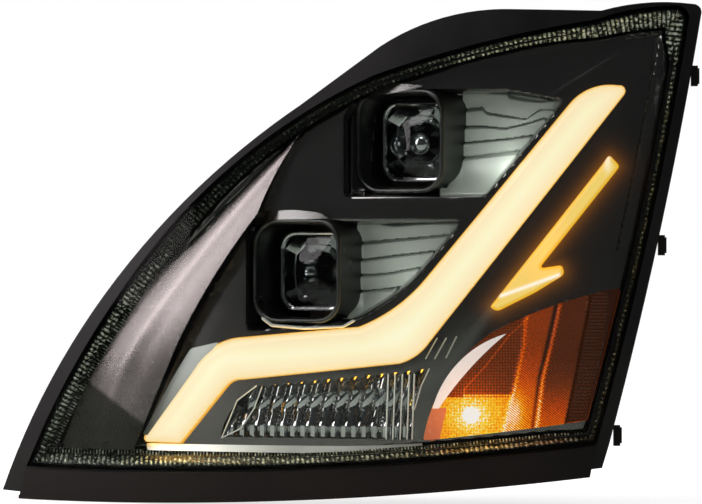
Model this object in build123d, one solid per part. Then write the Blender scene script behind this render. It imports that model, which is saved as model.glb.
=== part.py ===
"""Left-hand commercial vehicle headlight assembly, in millimetres.

+Z is up, -Y is the vehicle's forward direction and +X is outboard. The origin is the centre of the
four mounting studs, on the plane of their boss faces. Two lamps on a tilting carrier look forward
along -Y. The outer lens is turned outboard, so everything that follows the lens is drawn in a face
frame: u to the right across the lens, w into the lamp, z up. to_vehicle() turns it about +Z.
"""

import math
import os

from build123d import *

# ---- driving dimensions -------------------------------------------------------------------------
FACE_TURN = 28.0  # the lens face looks this far outboard of straight ahead, degrees

LENS_RADIUS = 600.0  # plan radius of the lens's outer surface
LENS_RISE = 1200.0  # side-view radius of every skin in the lamp
LENS_APEX = (40.0, -230.0, -60.0)  # u, w, z of the foremost point of the lens
LENS_WALL = 3.0
LENS_LEG = 26.0  # how far the lens's edge wall reaches into the housing

FLANGE_DEPTH = 8.0  # depths are measured behind the lens's outer surface
GROOVE_FLOOR = 28.0
BEZEL_DEPTH = 30.0
RECESS_DEPTH = 70.0
SKIN = 2.5
WALL = 3.0

PAN_RADIUS = 655.6  # plan radius of the housing pan's floor, flatter than the lens
PAN_APEX_W = -154.0

POD_REAR = 0.0  # the rear wall's outer face, on the mounting plane
STEP_REAR = -100.0
STEP_TOP = -86.0

STUD_X, STUD_Z = 95.0, 70.0
STUD_R, STUD_LENGTH, BOSS_R = 3.0, 26.0, 10.0
STUD_ROOT_R, STUD_ROOT = 4.5, 17.0  # the knurled end moulded into the boss

LOW_BEAM = {"x": -31.0, "z": 17.0, "rim": -214.0, "mouth": -182.0, "neck": -110.0}
HIGH_BEAM = {"x": 49.0, "z": 132.0, "rim": -170.0, "mouth": -138.0, "neck": -92.0}
SHROUD_W, SHROUD_H, SHROUD_R, SHROUD_WALL = 88.0, 92.0, 22.0, 4.0
HOLDER_W, HOLDER_H, HOLDER_R = 68.0, 71.0, 15.0

PIVOT = (-90.0, 74.0)  # y and z of the carrier's tilt axis
PLATE_Y = (-92.0, -88.0)
PIN_R, RUNNING = 4.0, 0.06
PIVOT_X = (-98.0, 103.0)  # where the carrier's two pivot pins start

ADJUSTER = (121.0, 3.0)  # x and z of the adjuster rod
ROD_R = 3.5

PORT_R, COLLAR_R, COLLAR_RISE = 44.0, 49.0, 8.0
SOCKET_R = 14.0

TURN_SOCKET = (104.0, -107.0)  # x and z, in the vehicle frame
MARKER_SOCKET = (130.0, -62.0)  # u and z, in the face frame


# ---- helpers ------------------------------------------------------------------------------------
def to_vehicle(shape):
    """Turns a shape drawn in the face frame into the vehicle frame."""
    return shape.rotate(Axis.Z, FACE_TURN)


def outline(*legs):
    """A closed flat outline in u and z: a leg of two points is a line, and of three points an arc."""
    edges = [Line(*leg) if len(leg) == 2 else ThreePointArc(*leg) for leg in legs]
    return make_face(edges)


def polygon(*points, radius=0.0):
    """A closed straight-sided outline in u and z, with every corner rounded if radius is given."""
    face = make_face(Polyline(*points, close=True))
    return fillet(face.vertices(), radius) if radius else face


def grown(face, amount):
    """The outline moved outward by amount, or inward if it is negative."""
    return offset(face, amount=amount, kind=Kind.INTERSECTION)


def prism(face, near=-420.0, far=260.0):
    """The outline carried through the lamp along the depth axis, from near to far."""
    return extrude(Plane.XZ.offset(-near) * face, amount=-(far - near))


def skin(near, far, radius=LENS_RADIUS, apex_w=LENS_APEX[1]):
    """The space between depths near and far behind a doubly curved surface."""
    apex_u, _, apex_z = LENS_APEX
    lowest, highest = -190.0, 350.0  # z of the ends, from the apex

    def at(depth, height):
        side = LENS_RISE - depth
        angle = math.asin(height / LENS_RISE)
        return (radius - LENS_RISE + side * math.cos(angle), apex_z + side * math.sin(angle))

    front = ThreePointArc(at(near, lowest), at(near, 0), at(near, highest))
    back = ThreePointArc(at(far, lowest), at(far, 0), at(far, highest))
    bottom = Line(at(near, lowest), at(far, lowest))
    top = Line(at(near, highest), at(far, highest))
    profile = Plane.XZ * make_face([front, back, bottom, top])
    sector_start, sector = -155.0, 105.0
    turned = revolve(profile, axis=Axis.Z, revolution_arc=sector).rotate(Axis.Z, sector_start)
    return Pos(apex_u, apex_w + radius, 0) * turned


def block(x, y, z):
    """A box from pairs of limits."""
    size = [limits[1] - limits[0] for limits in (x, y, z)]
    middle = [sum(limits) / 2 for limits in (x, y, z)]
    return Pos(*middle) * Box(*size)


def rod(x, z, y0, y1, radius):
    """A round bar along Y."""
    return Pos(x, (y0 + y1) / 2, z) * Rot(90, 0, 0) * Cylinder(radius, y1 - y0)


def ring(x, z, y0, y1, outer, inner):
    """A round tube along Y."""
    return rod(x, z, y0, y1, outer) - rod(x, z, y0 - 1, y1 + 1, inner)


def slab(x, z, y0, y1, width, height, radius):
    """A rounded rectangular bar along Y."""
    face = Plane.XZ.offset(-y0) * Pos(x, z) * RectangleRounded(width, height, radius)
    return extrude(face, amount=-(y1 - y0))


# ---- outlines in the face frame -----------------------------------------------------------------
def flange_outline():
    """The housing's outer edge."""
    return outline(
        ((-397, -183), (-305, -11), (-124, 164)),
        ((-124, 164), (-53, 216)),
        ((-53, 216), (-2, 240), (62, 249)),
        ((62, 249), (143, 248)),
        ((143, 248), (190, 256), (226, 255)),
        ((226, 255), (232, 252), (233, 245)),
        ((233, 245), (196, 62), (148, -136)),
        ((148, -136), (142, -156)),
        ((142, -156), (-124, -179), (-380, -184)),
        ((-380, -184), (-397, -183)),
    )


def lens_outline():
    """The clear lens's outer edge."""
    return outline(
        ((-373, -160), (-120, -156.5), (137, -134)),
        ((137, -134), (183, 50), (221, 239)),
        ((221, 239), (219, 249), (210, 253)),
        ((210, 253), (173, 249), (136, 239)),
        ((136, 239), (38, 219), (-58, 190)),
        ((-58, 190), (-150, 137), (-231, 66)),
        ((-231, 66), (-302, -27), (-355, -120)),
        ((-355, -120), (-373, -160)),
    )


def light_bar_outline():
    """The daytime light bar: a short foot, a level run and a long raked run."""
    return outline(
        ((-231, -137), (-190, -86)),
        ((-190, -86), (-184, -81), (-176, -79.5)),
        ((-176, -79.5), (-36, -64.5)),
        ((-36, -64.5), (-22, -58), (-10, -46)),
        ((-10, -46), (164, 174)),
        ((164, 174), (164, 180), (158, 182)),
        ((158, 182), (136, 180), (116, 167)),
        ((116, 167), (-17, 6)),
        ((-17, 6), (-42, -16), (-72, -32)),
        ((-72, -32), (-180, -42)),
        ((-180, -42), (-203, -51), (-220, -69)),
        ((-220, -69), (-264, -130)),
        ((-264, -130), (-264, -135), (-259, -136.5)),
        ((-259, -136.5), (-231, -137)),
    )


def accent_outline():
    """The amber accent guide: a long raked leg with a short hook at its foot."""
    return polygon((42, -15), (150, 121), (160, 110), (88, 20), (108, 23), (110, 14), (84, -2), (50, -19))


def turn_outline():
    """The amber quarter at the outer lower corner."""
    return outline(
        ((-17, -134), (3, -79), (44, -36)),
        ((44, -36), (99, -12), (157, 3)),
        ((157, 3), (127, -115)),
        ((127, -115), (56, -126), (-17, -134)),
    )


def parking_outline():
    """The clear fluted window under the light bar."""
    return outline(
        ((-197, -132), (-184, -102), (-163, -84)),
        ((-163, -84), (-32, -70)),
        ((-32, -70), (-8, -67)),
        ((-8, -67), (-24, -106)),
        ((-24, -106), (-24, -133)),
        ((-24, -133), (-197, -132)),
    )


def low_recess_outline():
    """The opening in the bezel round the low beam."""
    return polygon((-172, 62), (22, 62), (-24, 8), (-46, -10), (-74, -27), (-172, -37), radius=6)


def high_recess_outline():
    """The opening in the bezel round the high beam."""
    return polygon((-86, 82), (-86, 158), (-74, 169), (-40, 179), (60, 178), (112, 169), (40, 82), radius=6)


# ---- body parts ---------------------------------------------------------------------------------
def pod_outline(inset):
    """The deep rear box's outline in x and z, at the vehicle's own axes."""
    face = polygon((-118, -150), (140, -150), (140, 195), (0, 195), (-60, 140), (-118, 80), radius=16)
    return grown(face, -inset) if inset else face


def socket_collar(x, z, y0, y1):
    """A short raised collar round a twist-in socket's hole."""
    return ring(x, z, y0, y1, SOCKET_R + 3, SOCKET_R + 0.5)


def rear_housing():
    """The moulded shell: a pan that follows the lens, a deep rear box and a shallow lower step."""
    edge, lens = flange_outline(), lens_outline()
    behind_pan = skin(WALL, 320, PAN_RADIUS, PAN_APEX_W)
    pan = (prism(edge) & skin(FLANGE_DEPTH, 260)) - behind_pan
    hollow = (prism(grown(edge, -WALL)) & skin(FLANGE_DEPTH + WALL, 300)) - skin(0, 320, PAN_RADIUS, PAN_APEX_W)
    mouth = prism(grown(lens, 0.6)) & skin(-5, GROOVE_FLOOR)
    groove = prism(grown(lens, 0.6 + WALL)) & prism(edge)
    groove_wall = (groove - prism(grown(lens, 0.6))) & skin(FLANGE_DEPTH, GROOVE_FLOOR + WALL)
    groove_floor = (groove - prism(grown(lens, -9))) & skin(GROOVE_FLOOR, GROOVE_FLOOR + WALL)
    inner_lip = (prism(grown(lens, -7)) - prism(grown(lens, -9))) & skin(GROOVE_FLOOR - 7, GROOVE_FLOOR + 1)
    shell = to_vehicle(pan - hollow - mouth + groove_wall + groove_floor + inner_lip)

    front = to_vehicle(skin(-240, 0.5, PAN_RADIUS, PAN_APEX_W))
    lower = block((-400, 400), (STEP_REAR, 60), (-400, STEP_TOP))
    outer = prism(pod_outline(0), -320, POD_REAR) - lower
    inner_lower = block((-400, 400), (STEP_REAR - WALL, 60), (-400, STEP_TOP + WALL))
    inner = prism(pod_outline(WALL), -320, POD_REAR - WALL) - inner_lower
    inside_pan = to_vehicle(prism(grown(edge, -WALL)) & skin(GROOVE_FLOOR + WALL, 320))
    housing = shell - (inner & inside_pan) + (outer - inner - front)

    for lamp in (LOW_BEAM, HIGH_BEAM):
        housing += rod(lamp["x"], lamp["z"], POD_REAR - WALL, POD_REAR + COLLAR_RISE, COLLAR_R)
        housing -= rod(lamp["x"], lamp["z"], -30, 30, PORT_R)
    for x, z in stud_places():
        housing += rod(x, z, POD_REAR - STUD_ROOT - 5, POD_REAR, BOSS_R)
        housing -= rod(x, z, POD_REAR - STUD_ROOT - 1, POD_REAR + 1, STUD_ROOT_R)
    x, z = TURN_SOCKET
    housing += socket_collar(x, z, STEP_REAR - 1, STEP_REAR + 4)
    housing -= rod(x, z, STEP_REAR - 20, STEP_REAR + 10, SOCKET_R + 0.5)
    u, z = MARKER_SOCKET
    housing += to_vehicle(socket_collar(u, z, -147, -139))
    housing -= to_vehicle(rod(u, z, -170, -130, SOCKET_R + 0.5))
    housing += rod(*ADJUSTER, -14, 0, ROD_R + 5)
    housing -= rod(*ADJUSTER, -20, 10, ROD_R + RUNNING)
    for x, z in vent_places():
        housing -= rod(x, z, -10, 10, 6)
    x, z = CONNECTOR
    housing -= block((x - 15, x + 15), (STEP_REAR - 10, STEP_REAR + 10), (z - 9, z + 9))
    housing += pod_ribs()
    return housing


def pod_ribs():
    """Stiffening ribs down the outside of the rear box."""
    ribs = []
    for z in (-50.0, -10.0, 30.0, 70.0):
        ribs.append(block((139.5, 144), (-80, -4), (z - 1.25, z + 1.25)))
        ribs.append(block((-122, -117.5), (-150, -4), (z - 1.25, z + 1.25)))
    for x in (30.0, 60.0, 90.0, 120.0):
        ribs.append(block((x - 1.25, x + 1.25), (-75, -4), (194.5, 199)))
    return ribs


def stud_places():
    """Where the mounting studs stand."""
    return [(sx * STUD_X, sz * STUD_Z) for sx in (-1, 1) for sz in (-1, 1)]


def mounting_studs():
    """Four studs moulded into the housing's bosses."""
    studs = []
    for x, z in stud_places():
        root = rod(x, z, POD_REAR - STUD_ROOT, POD_REAR, STUD_ROOT_R)
        studs.append(root + rod(x, z, POD_REAR, POD_REAR + STUD_LENGTH, STUD_R))
    return studs


def outer_lens():
    """The clear cover: a doubly curved front with a wall round its edge."""
    edge = lens_outline()
    front = prism(edge) & skin(0, LENS_WALL)
    leg = (prism(edge) - prism(grown(edge, -LENS_WALL))) & skin(0, LENS_LEG)
    return to_vehicle(front + leg)


def lens_sealant():
    """The sealing bead that the lens's edge wall stands in."""
    lens = lens_outline()
    bead = (prism(grown(lens, 0.6)) - prism(grown(lens, -7))) & skin(GROOVE_FLOOR - 6, GROOVE_FLOOR)
    leg = (prism(grown(lens, 0.0)) - prism(grown(lens, -LENS_WALL))) & skin(0, LENS_LEG)
    return to_vehicle(bead - leg)


def lower_trim_strip():
    """The filler strip under the lens, clipped to the front of the flange."""
    face = outline(
        ((-381, -190), (-124, -185), (131, -164)),
        ((131, -164), (136, -136)),
        ((136, -136), (-120, -158.5), (-374, -162)),
        ((-374, -162), (-381, -190)),
    )
    strip = prism(face) & skin(1.5, FLANGE_DEPTH)
    lip_face = outline(
        ((-381, -190), (-124, -185), (131, -164)),
        ((131, -164), (131, -161)),
        ((131, -161), (-124, -182), (-381, -187)),
        ((-381, -187), (-381, -190)),
    )
    lip = prism(lip_face) & skin(1.5, 26)
    return to_vehicle(strip + lip)


def retainer_tabs():
    """Three tabs on the outboard edge that hook behind the bodywork."""
    tabs = []
    for u, z, w in ((224.5, 191, -150), (193.0, 40, -188), (153.0, -128, -198)):
        body = block((u, u + 5.5), (w, w + 16), (z - 9, z + 9))
        hook = block((u + 2.5, u + 7.5), (w + 11, w + 16), (z - 7, z + 7))
        tabs.append(to_vehicle((body + hook) - prism(flange_outline())))
    return tabs


# ---- front trim, in the face frame --------------------------------------------------------------
def inner_bezel():
    """The black inner bezel: a skin behind the lens with two deep recesses and four windows."""
    edge = grown(lens_outline(), -11)
    plate = prism(edge) & skin(BEZEL_DEPTH, BEZEL_DEPTH + SKIN)
    for recess in (low_recess_outline(), high_recess_outline()):
        wall = prism(grown(recess, SKIN)) & skin(BEZEL_DEPTH, RECESS_DEPTH + SKIN)
        plate = plate + wall - (prism(recess) & skin(BEZEL_DEPTH - 5, RECESS_DEPTH))
    for window in (light_bar_outline(), accent_outline(), turn_outline(), parking_outline()):
        plate -= prism(grown(window, 0.6)) & skin(BEZEL_DEPTH - 5, RECESS_DEPTH + 10)
    bezel = to_vehicle(plate)
    for lamp in (LOW_BEAM, HIGH_BEAM):
        bezel -= slab(lamp["x"], lamp["z"], -260, 0, SHROUD_W + 0.6, SHROUD_H + 0.6, SHROUD_R + 0.3)
    return bezel


def shroud(lamp):
    """A square tube with round corners that frames one lamp."""
    inner_w, inner_h = SHROUD_W - 2 * SHROUD_WALL, SHROUD_H - 2 * SHROUD_WALL
    x, z, rim = lamp["x"], lamp["z"], lamp["rim"]
    tube = slab(x, z, rim, -60, SHROUD_W, SHROUD_H, SHROUD_R)
    tube -= slab(x, z, rim - 5, -50, inner_w, inner_h, SHROUD_R - SHROUD_WALL)
    return tube & to_vehicle(skin(4, RECESS_DEPTH + 7))


def louvre(corners, fins):
    """A recess liner with level fins beside one lamp."""
    region = polygon(*corners)
    liner = prism(region) & skin(RECESS_DEPTH - 4, RECESS_DEPTH - 0.2)
    low = min(z for _, z in corners)
    high = max(z for _, z in corners)
    pitch = (high - low) / fins
    for i in range(fins):
        z0 = low + i * pitch
        band = polygon((-200, z0), (200, z0), (200, z0 + 0.6 * pitch), (-200, z0 + 0.6 * pitch))
        liner += (prism(region) & prism(band)) & skin(RECESS_DEPTH - 11, RECESS_DEPTH - 3)
    return to_vehicle(liner)


def light_bar_diffuser():
    """The milky cover of the daytime light bar, open at the back."""
    bar = light_bar_outline()
    solid = prism(bar) & skin(20, 40)
    hollow = prism(grown(bar, -2.5)) & skin(22.5, 45)
    return to_vehicle(solid - hollow)


def light_bar_channel():
    """The white tray that closes the back of the light bar."""
    bar = light_bar_outline()
    tray = prism(grown(bar, -2.6)) & skin(34, 46)
    pocket = prism(grown(bar, -4.6)) & skin(30, 44)
    return to_vehicle(tray - pocket)


def light_bar_board():
    """The light bar's circuit board."""
    return to_vehicle(prism(grown(light_bar_outline(), -5)) & skin(42.3, 43.9))


def light_bar_leds():
    """Emitters spaced along the middle of the light bar."""
    middle = [(-245, -130), (-200, -66), (-168, -58), (-46, -42), (138, 166)]
    chips = []
    for (u0, z0), (u1, z1) in zip(middle, middle[1:]):
        run = math.hypot(u1 - u0, z1 - z0)
        count = max(2, round(run / 16))
        for i in range(count):
            t = (i + 0.5) / count
            u, z = u0 + t * (u1 - u0), z0 + t * (z1 - z0)
            square = Pos(u, z) * Rectangle(5, 5)
            chips.append(to_vehicle(prism(square) & skin(40.8, 42.2)))
    return chips


def accent_guide():
    """The amber light guide."""
    return to_vehicle(prism(accent_outline()) & skin(24, 36))


def accent_board():
    """The accent guide's circuit board."""
    return to_vehicle(prism(grown(accent_outline(), -1.5)) & skin(36.5, 38.1))


def marker_divider():
    """The half of the amber quarter that holds the side marker."""
    return polygon((132, 40), (134, 3), (111, -119), (111, -160), (220, -160), (220, 40))


def turn_lens():
    """The amber cover over the turn signal."""
    face = turn_outline() - marker_divider()
    return to_vehicle(prism(face) & skin(BEZEL_DEPTH, BEZEL_DEPTH + SKIN))


def marker_lens():
    """The reflex reflector and side marker cover."""
    face = turn_outline() & grown(marker_divider(), -0.5)
    return to_vehicle(prism(face) & skin(BEZEL_DEPTH, BEZEL_DEPTH + SKIN + 1))


def cavity(face, near, far):
    """An open-fronted box behind a window."""
    outer = prism(grown(face, -0.2)) & skin(near, far)
    return outer - (prism(grown(face, -2)) & skin(near - 5, far - 2))


def turn_reflector():
    """The metallised box behind the amber quarter, with holes for its two bulbs."""
    box = to_vehicle(cavity(turn_outline(), 35, 66))
    x, z = TURN_SOCKET
    u, marker_z = MARKER_SOCKET
    box -= rod(x, z, -170, -60, 11)
    return box - to_vehicle(rod(u, marker_z, -190, -110, 11))


def parking_lens():
    """The clear fluted cover under the light bar."""
    face = parking_outline()
    cover = prism(face) & skin(BEZEL_DEPTH, BEZEL_DEPTH + SKIN)
    for i in range(5):
        u = -66 + 7.5 * i
        flute = polygon((u, -131), (u + 2.5, -131), (u + 2.5, -76), (u, -76))
        cover += (prism(flute) & prism(face)) & skin(BEZEL_DEPTH - 2, BEZEL_DEPTH + 1)
    return to_vehicle(cover)


def parking_reflector():
    """The metallised box behind the fluted cover."""
    return to_vehicle(cavity(parking_outline(), 34, 60))


def parking_board():
    """The position light's circuit board, on the reflector's floor."""
    face = polygon((-150, -112), (-60, -112), (-60, -102), (-150, -102))
    return to_vehicle(prism(face) & skin(55.5, 57.5))


# ---- tilting carrier, in the vehicle frame ------------------------------------------------------
def aim_carrier():
    """The plate that holds both lamps, with a pivot ear each side and the adjuster's fork."""
    outer = polygon((-82, -34), (40, -34), (100, 20), (92, 172), (0, 172), (-82, 88), radius=10)
    plate = prism(outer, *PLATE_Y)
    y, z = PIVOT
    for x0, x1 in ((PIVOT_X[0], -78.0), (96.0, PIVOT_X[1])):
        plate += block((x0, x1), (y - 8, y + 8), (z - 8, z + 8))
    ax, az = ADJUSTER
    plate += block((96, ax + 14), (y - 2, y + 2), (az + 12, az + 26))
    for side in (-1, 1):
        x0 = ax + side * 12 - 2
        plate += block((x0, x0 + 4), (y - 7, y + 7), (az - 10, az + 26))
        plate -= Pos(x0 + 2, y, az - 3) * Box(6, 2 * (PIN_R + 0.1) - 2, 14.4)
    for lamp in (LOW_BEAM, HIGH_BEAM):
        plate -= rod(lamp["x"], lamp["z"], -130, -60, 30)
    return plate


def pivot_pins():
    """The two pins that the carrier turns on."""
    y, z = PIVOT
    pins = []
    for side, x in ((-1, PIVOT_X[0]), (1, PIVOT_X[1])):
        middle = x + side * 7
        pins.append(Pos(middle, y, z) * Rot(0, 90, 0) * Cylinder(PIN_R, 14))
    return pins


def pivot_brackets():
    """Two arms from the rear box's side walls, with an eye for each pivot pin."""
    y, z = PIVOT
    inside = prism(pod_outline(WALL), -200, 0)
    eyes = []
    for x0, x1 in ((-140, PIVOT_X[0] - 1), (PIVOT_X[1] + 1, 160)):
        arm = block((x0, x1), (y - 9, y + 9), (z - 9, z + 9)) & inside
        middle = PIVOT_X[0] - 6 if x0 < 0 else PIVOT_X[1] + 6
        eyes.append(arm - Pos(middle, y, z) * Rot(0, 90, 0) * Cylinder(PIN_R + RUNNING, 16))
    return eyes


def bowl(lamp, inset):
    """The reflector's outer form, drawn in by inset."""
    x, z, mouth, neck = lamp["x"], lamp["z"], lamp["mouth"], lamp["neck"]
    sections = []
    for share, width, height, radius in ((0, 66, 70, 14), (0.3, 62, 66, 20), (0.7, 52, 54, 24), (1, 42, 42, 20.5)):
        y = mouth + share * (neck - mouth)
        face = Pos(x, z) * RectangleRounded(width - 2 * inset, height - 2 * inset, radius - inset)
        sections.append(Plane.XZ.offset(-y) * face)
    return loft(sections)


def reflector(lamp):
    """A metallised bowl with a round neck that sits in the carrier."""
    x, z, neck = lamp["x"], lamp["z"], lamp["neck"]
    shell = bowl(lamp, 0) + rod(x, z, neck - 0.5, PLATE_Y[1], 20)
    shell -= bowl(lamp, 1.8)
    shell -= rod(x, z, neck - 4, PLATE_Y[1] + 1, 13)
    flange = ring(x, z, PLATE_Y[0] - 3, PLATE_Y[0], 35, 19.5)
    return shell + flange


def holder(lamp):
    """The bright frame that clamps the glass to the bowl."""
    x, z, mouth = lamp["x"], lamp["z"], lamp["mouth"]
    frame = slab(x, z, mouth - 9, mouth, HOLDER_W, HOLDER_H, HOLDER_R)
    frame -= slab(x, z, mouth - 20, mouth + 5, HOLDER_W - 6, HOLDER_H - 6, HOLDER_R - 3)
    return frame


def lamp_glass(lamp):
    """A square glass with a crowned front."""
    x, z, mouth = lamp["x"], lamp["z"], lamp["mouth"]
    blank = slab(x, z, mouth - 12, mouth - 2, HOLDER_W - 6.2, HOLDER_H - 6.2, HOLDER_R - 3.1)
    crown_radius = 150.0
    return blank & Pos(x, mouth - 12 + crown_radius, z) * Sphere(crown_radius)


def bulb_glass(lamp):
    """The lamp's capsule."""
    x, z, seat = lamp["x"], lamp["z"], PLATE_Y[1]
    tip = Pos(x, seat - 36, z) * Sphere(6)
    return rod(x, z, seat - 36, seat - 4, 6) + tip


def bulb_base(lamp):
    """The bulb's plug-in base, with its flange, grip and connector."""
    x, z, seat = lamp["x"], lamp["z"], PLATE_Y[1]
    base = rod(x, z, seat - 4, seat + 3.5, 11) + rod(x, z, seat + 3.5, seat + 6.5, 18)
    base += rod(x, z, seat + 6.5, seat + 18, 13)
    base += block((x - 9, x + 9), (seat + 12, seat + 32), (z - 24, z - 4))
    base -= block((x - 7, x + 7), (seat + 22, seat + 33), (z - 22, z - 6))
    return base


def bulb_seal(lamp):
    """The sealing ring under the bulb's flange."""
    return ring(lamp["x"], lamp["z"], PLATE_Y[1] + 0.5, PLATE_Y[1] + 3.3, 17, 11.2)


def bulb_shield(lamp):
    """The bright cap in front of the capsule, on one leg from the bowl's neck."""
    x, z, seat = lamp["x"], lamp["z"], PLATE_Y[1]
    tip = seat - 46
    cap = rod(x, z, tip, tip + 14, 10) - rod(x, z, tip + 1.5, tip + 20, 8.5)
    foot = min(lamp["neck"] + 6, seat - 4.5)
    leg = block((x - 3, x + 3), (tip + 10, foot), (z - 12.9, z - 9.2))
    return cap + leg


def cap_seal(lamp):
    """The sealing ring on a rear cap's spigot."""
    return ring(lamp["x"], lamp["z"], -1.5, 1.5, PORT_R - 0.1, PORT_R - 2)


def rear_cap(lamp):
    """A twist-off rear cap: spigot, grip flange and domed end with two grip walls."""
    x, z = lamp["x"], lamp["z"]
    face = POD_REAR + COLLAR_RISE + 0.4
    cap = rod(x, z, -5, face, PORT_R - 2.3) + rod(x, z, face, face + 8, COLLAR_R + 1)
    cap += rod(x, z, face + 8, face + 18, PORT_R - 6)
    cap -= rod(x, z, -10, face + 15, PORT_R - 9)
    for side in (-1, 1):
        cap += block((x - 30, x + 30), (face + 17, face + 27), (z + side * 5 - 1.5, z + side * 5 + 1.5))
    for i in range(24):
        angle = math.radians(15 * i)
        gx, gz = x + (COLLAR_R + 1) * math.cos(angle), z + (COLLAR_R + 1) * math.sin(angle)
        cap -= rod(gx, gz, face - 1, face + 9, 1.6)
    return cap


# ---- aim adjuster -------------------------------------------------------------------------------
def adjuster_rod():
    """The adjuster's threaded rod, with a collar each side of its boss and a hexagon outside."""
    x, z = ADJUSTER
    y = PIVOT[0]
    bar = rod(x, z, y - 14, 6, ROD_R) + rod(x, z, 0.4, 5, 11) + rod(x, z, -17, -14.4, 7)
    hexagon = Plane.XZ.offset(-5) * Pos(x, z) * RegularPolygon(7, 6)
    return bar + extrude(hexagon, amount=-11)


def adjuster_nut():
    """The nut that travels on the rod, with a trunnion each side in the carrier's fork."""
    x, z = ADJUSTER
    y = PIVOT[0]
    nut = block((x - 7.5, x + 7.5), (y - 6, y + 6), (z - 8, z + 8))
    nut += Pos(x, y, z) * Rot(0, 90, 0) * Cylinder(PIN_R - 1.1, 27)
    return nut - rod(x, z, y - 10, y + 10, ROD_R + RUNNING)


# ---- sockets ------------------------------------------------------------------------------------
def socket(x, z, back):
    """A twist-in bulb socket: body, flange and grip, seated at y = back."""
    body = rod(x, z, back - 20, back + 0.5, 10.5) + rod(x, z, back + 4.6, back + 7.5, 20)
    body += rod(x, z, back, back + 5, SOCKET_R - 1.6)
    grip = block((x - 16, x + 16), (back + 7, back + 18), (z - 3, z + 3))
    plug = block((x - 9, x + 9), (back + 7, back + 24), (z - 7, z + 7))
    plug -= block((x - 7, x + 7), (back + 14, back + 25), (z - 5, z + 5))
    return body + grip + plug - rod(x, z, back - 21, back - 12, 6.2)


def socket_seal(x, z, back):
    """The sealing ring between a socket's flange and its collar."""
    return ring(x, z, back + 4.1, back + 4.5, 18.5, SOCKET_R - 1.4)


def socket_bulb(x, z, back):
    """A wedge-based bulb with a round envelope."""
    bulb = rod(x, z, back - 40, back - 13, 6)
    return bulb + Pos(x, back - 42, z) * Sphere(9)


MARKER_BACK = -143.0  # w of the marker socket's seat


def marker_socket():
    """The side marker's socket, along the face frame's depth axis."""
    return to_vehicle(socket(*MARKER_SOCKET, MARKER_BACK))


def marker_seal():
    """The side marker socket's sealing ring."""
    return to_vehicle(socket_seal(*MARKER_SOCKET, MARKER_BACK))


def marker_bulb():
    """The side marker's small bulb."""
    u, z = MARKER_SOCKET
    return to_vehicle(rod(u, z, MARKER_BACK - 32, MARKER_BACK - 12.5, 5))


# ---- electronics on the lower step --------------------------------------------------------------
DRIVER = (-58.0, -119.0)  # x and z of the light bar's driver
CONNECTOR = (36.0, -118.0)


def driver_case():
    """The light bar driver's case."""
    x, z = DRIVER
    case = block((x - 40, x + 40), (STEP_REAR, STEP_REAR + 14), (z - 24, z + 24))
    return fillet(case.edges().filter_by(Axis.Y), 4)


def driver_heatsink():
    """The driver's finned cooler."""
    x, z = DRIVER
    y = STEP_REAR + 14
    sink = block((x - 32, x + 32), (y, y + 3), (z - 20, z + 20))
    for i in range(12):
        fin = x - 32 + i * 5.65
        sink += block((fin, fin + 1.8), (y + 2, y + 16), (z - 20, z + 20))
    return sink


def driver_screws():
    """The four screws that hold the driver."""
    x, z = DRIVER
    y = STEP_REAR + 14
    return [rod(x + sx * 36.5, z + sz * 20.5, y, y + 2.4, 3) for sx in (-1, 1) for sz in (-1, 1)]


def harness_connector():
    """The shrouded inlet that the vehicle's plug enters."""
    x, z = CONNECTOR
    back = STEP_REAR
    body = block((x - 15, x + 15), (back - 6, back + 20), (z - 9, z + 9))
    body += block((x - 19, x + 19), (back, back + 3), (z - 13, z + 13))
    body += block((x - 4, x + 4), (back + 3, back + 16), (z + 8, z + 12))
    return body - block((x - 12.5, x + 12.5), (back - 1, back + 21), (z - 6.5, z + 6.5))


def connector_pins():
    """Six blades in the inlet."""
    x, z = CONNECTOR
    pins = []
    for i in range(3):
        for side in (-1, 1):
            px, pz = x + (i - 1) * 7, z + side * 3
            pins.append(block((px - 1.2, px + 1.2), (STEP_REAR - 1, STEP_REAR + 11), (pz - 0.4, pz + 0.4)))
    return pins


def vent_places():
    """Where the housing breathes."""
    return [(-98.0, 36.0), (117.0, 174.0)]


def vent_caps():
    """Mushroom breather caps."""
    return [rod(x, z, -6, 3, 5.9) + rod(x, z, 0.3, 7, 10) for x, z in vent_places()]


LOW_LOUVRE = ((-59, 57), (13, 57), (-32, 5), (-59, 5))
HIGH_LOUVRE = ((33, 172), (106, 165), (60, 112), (33, 112))

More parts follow.
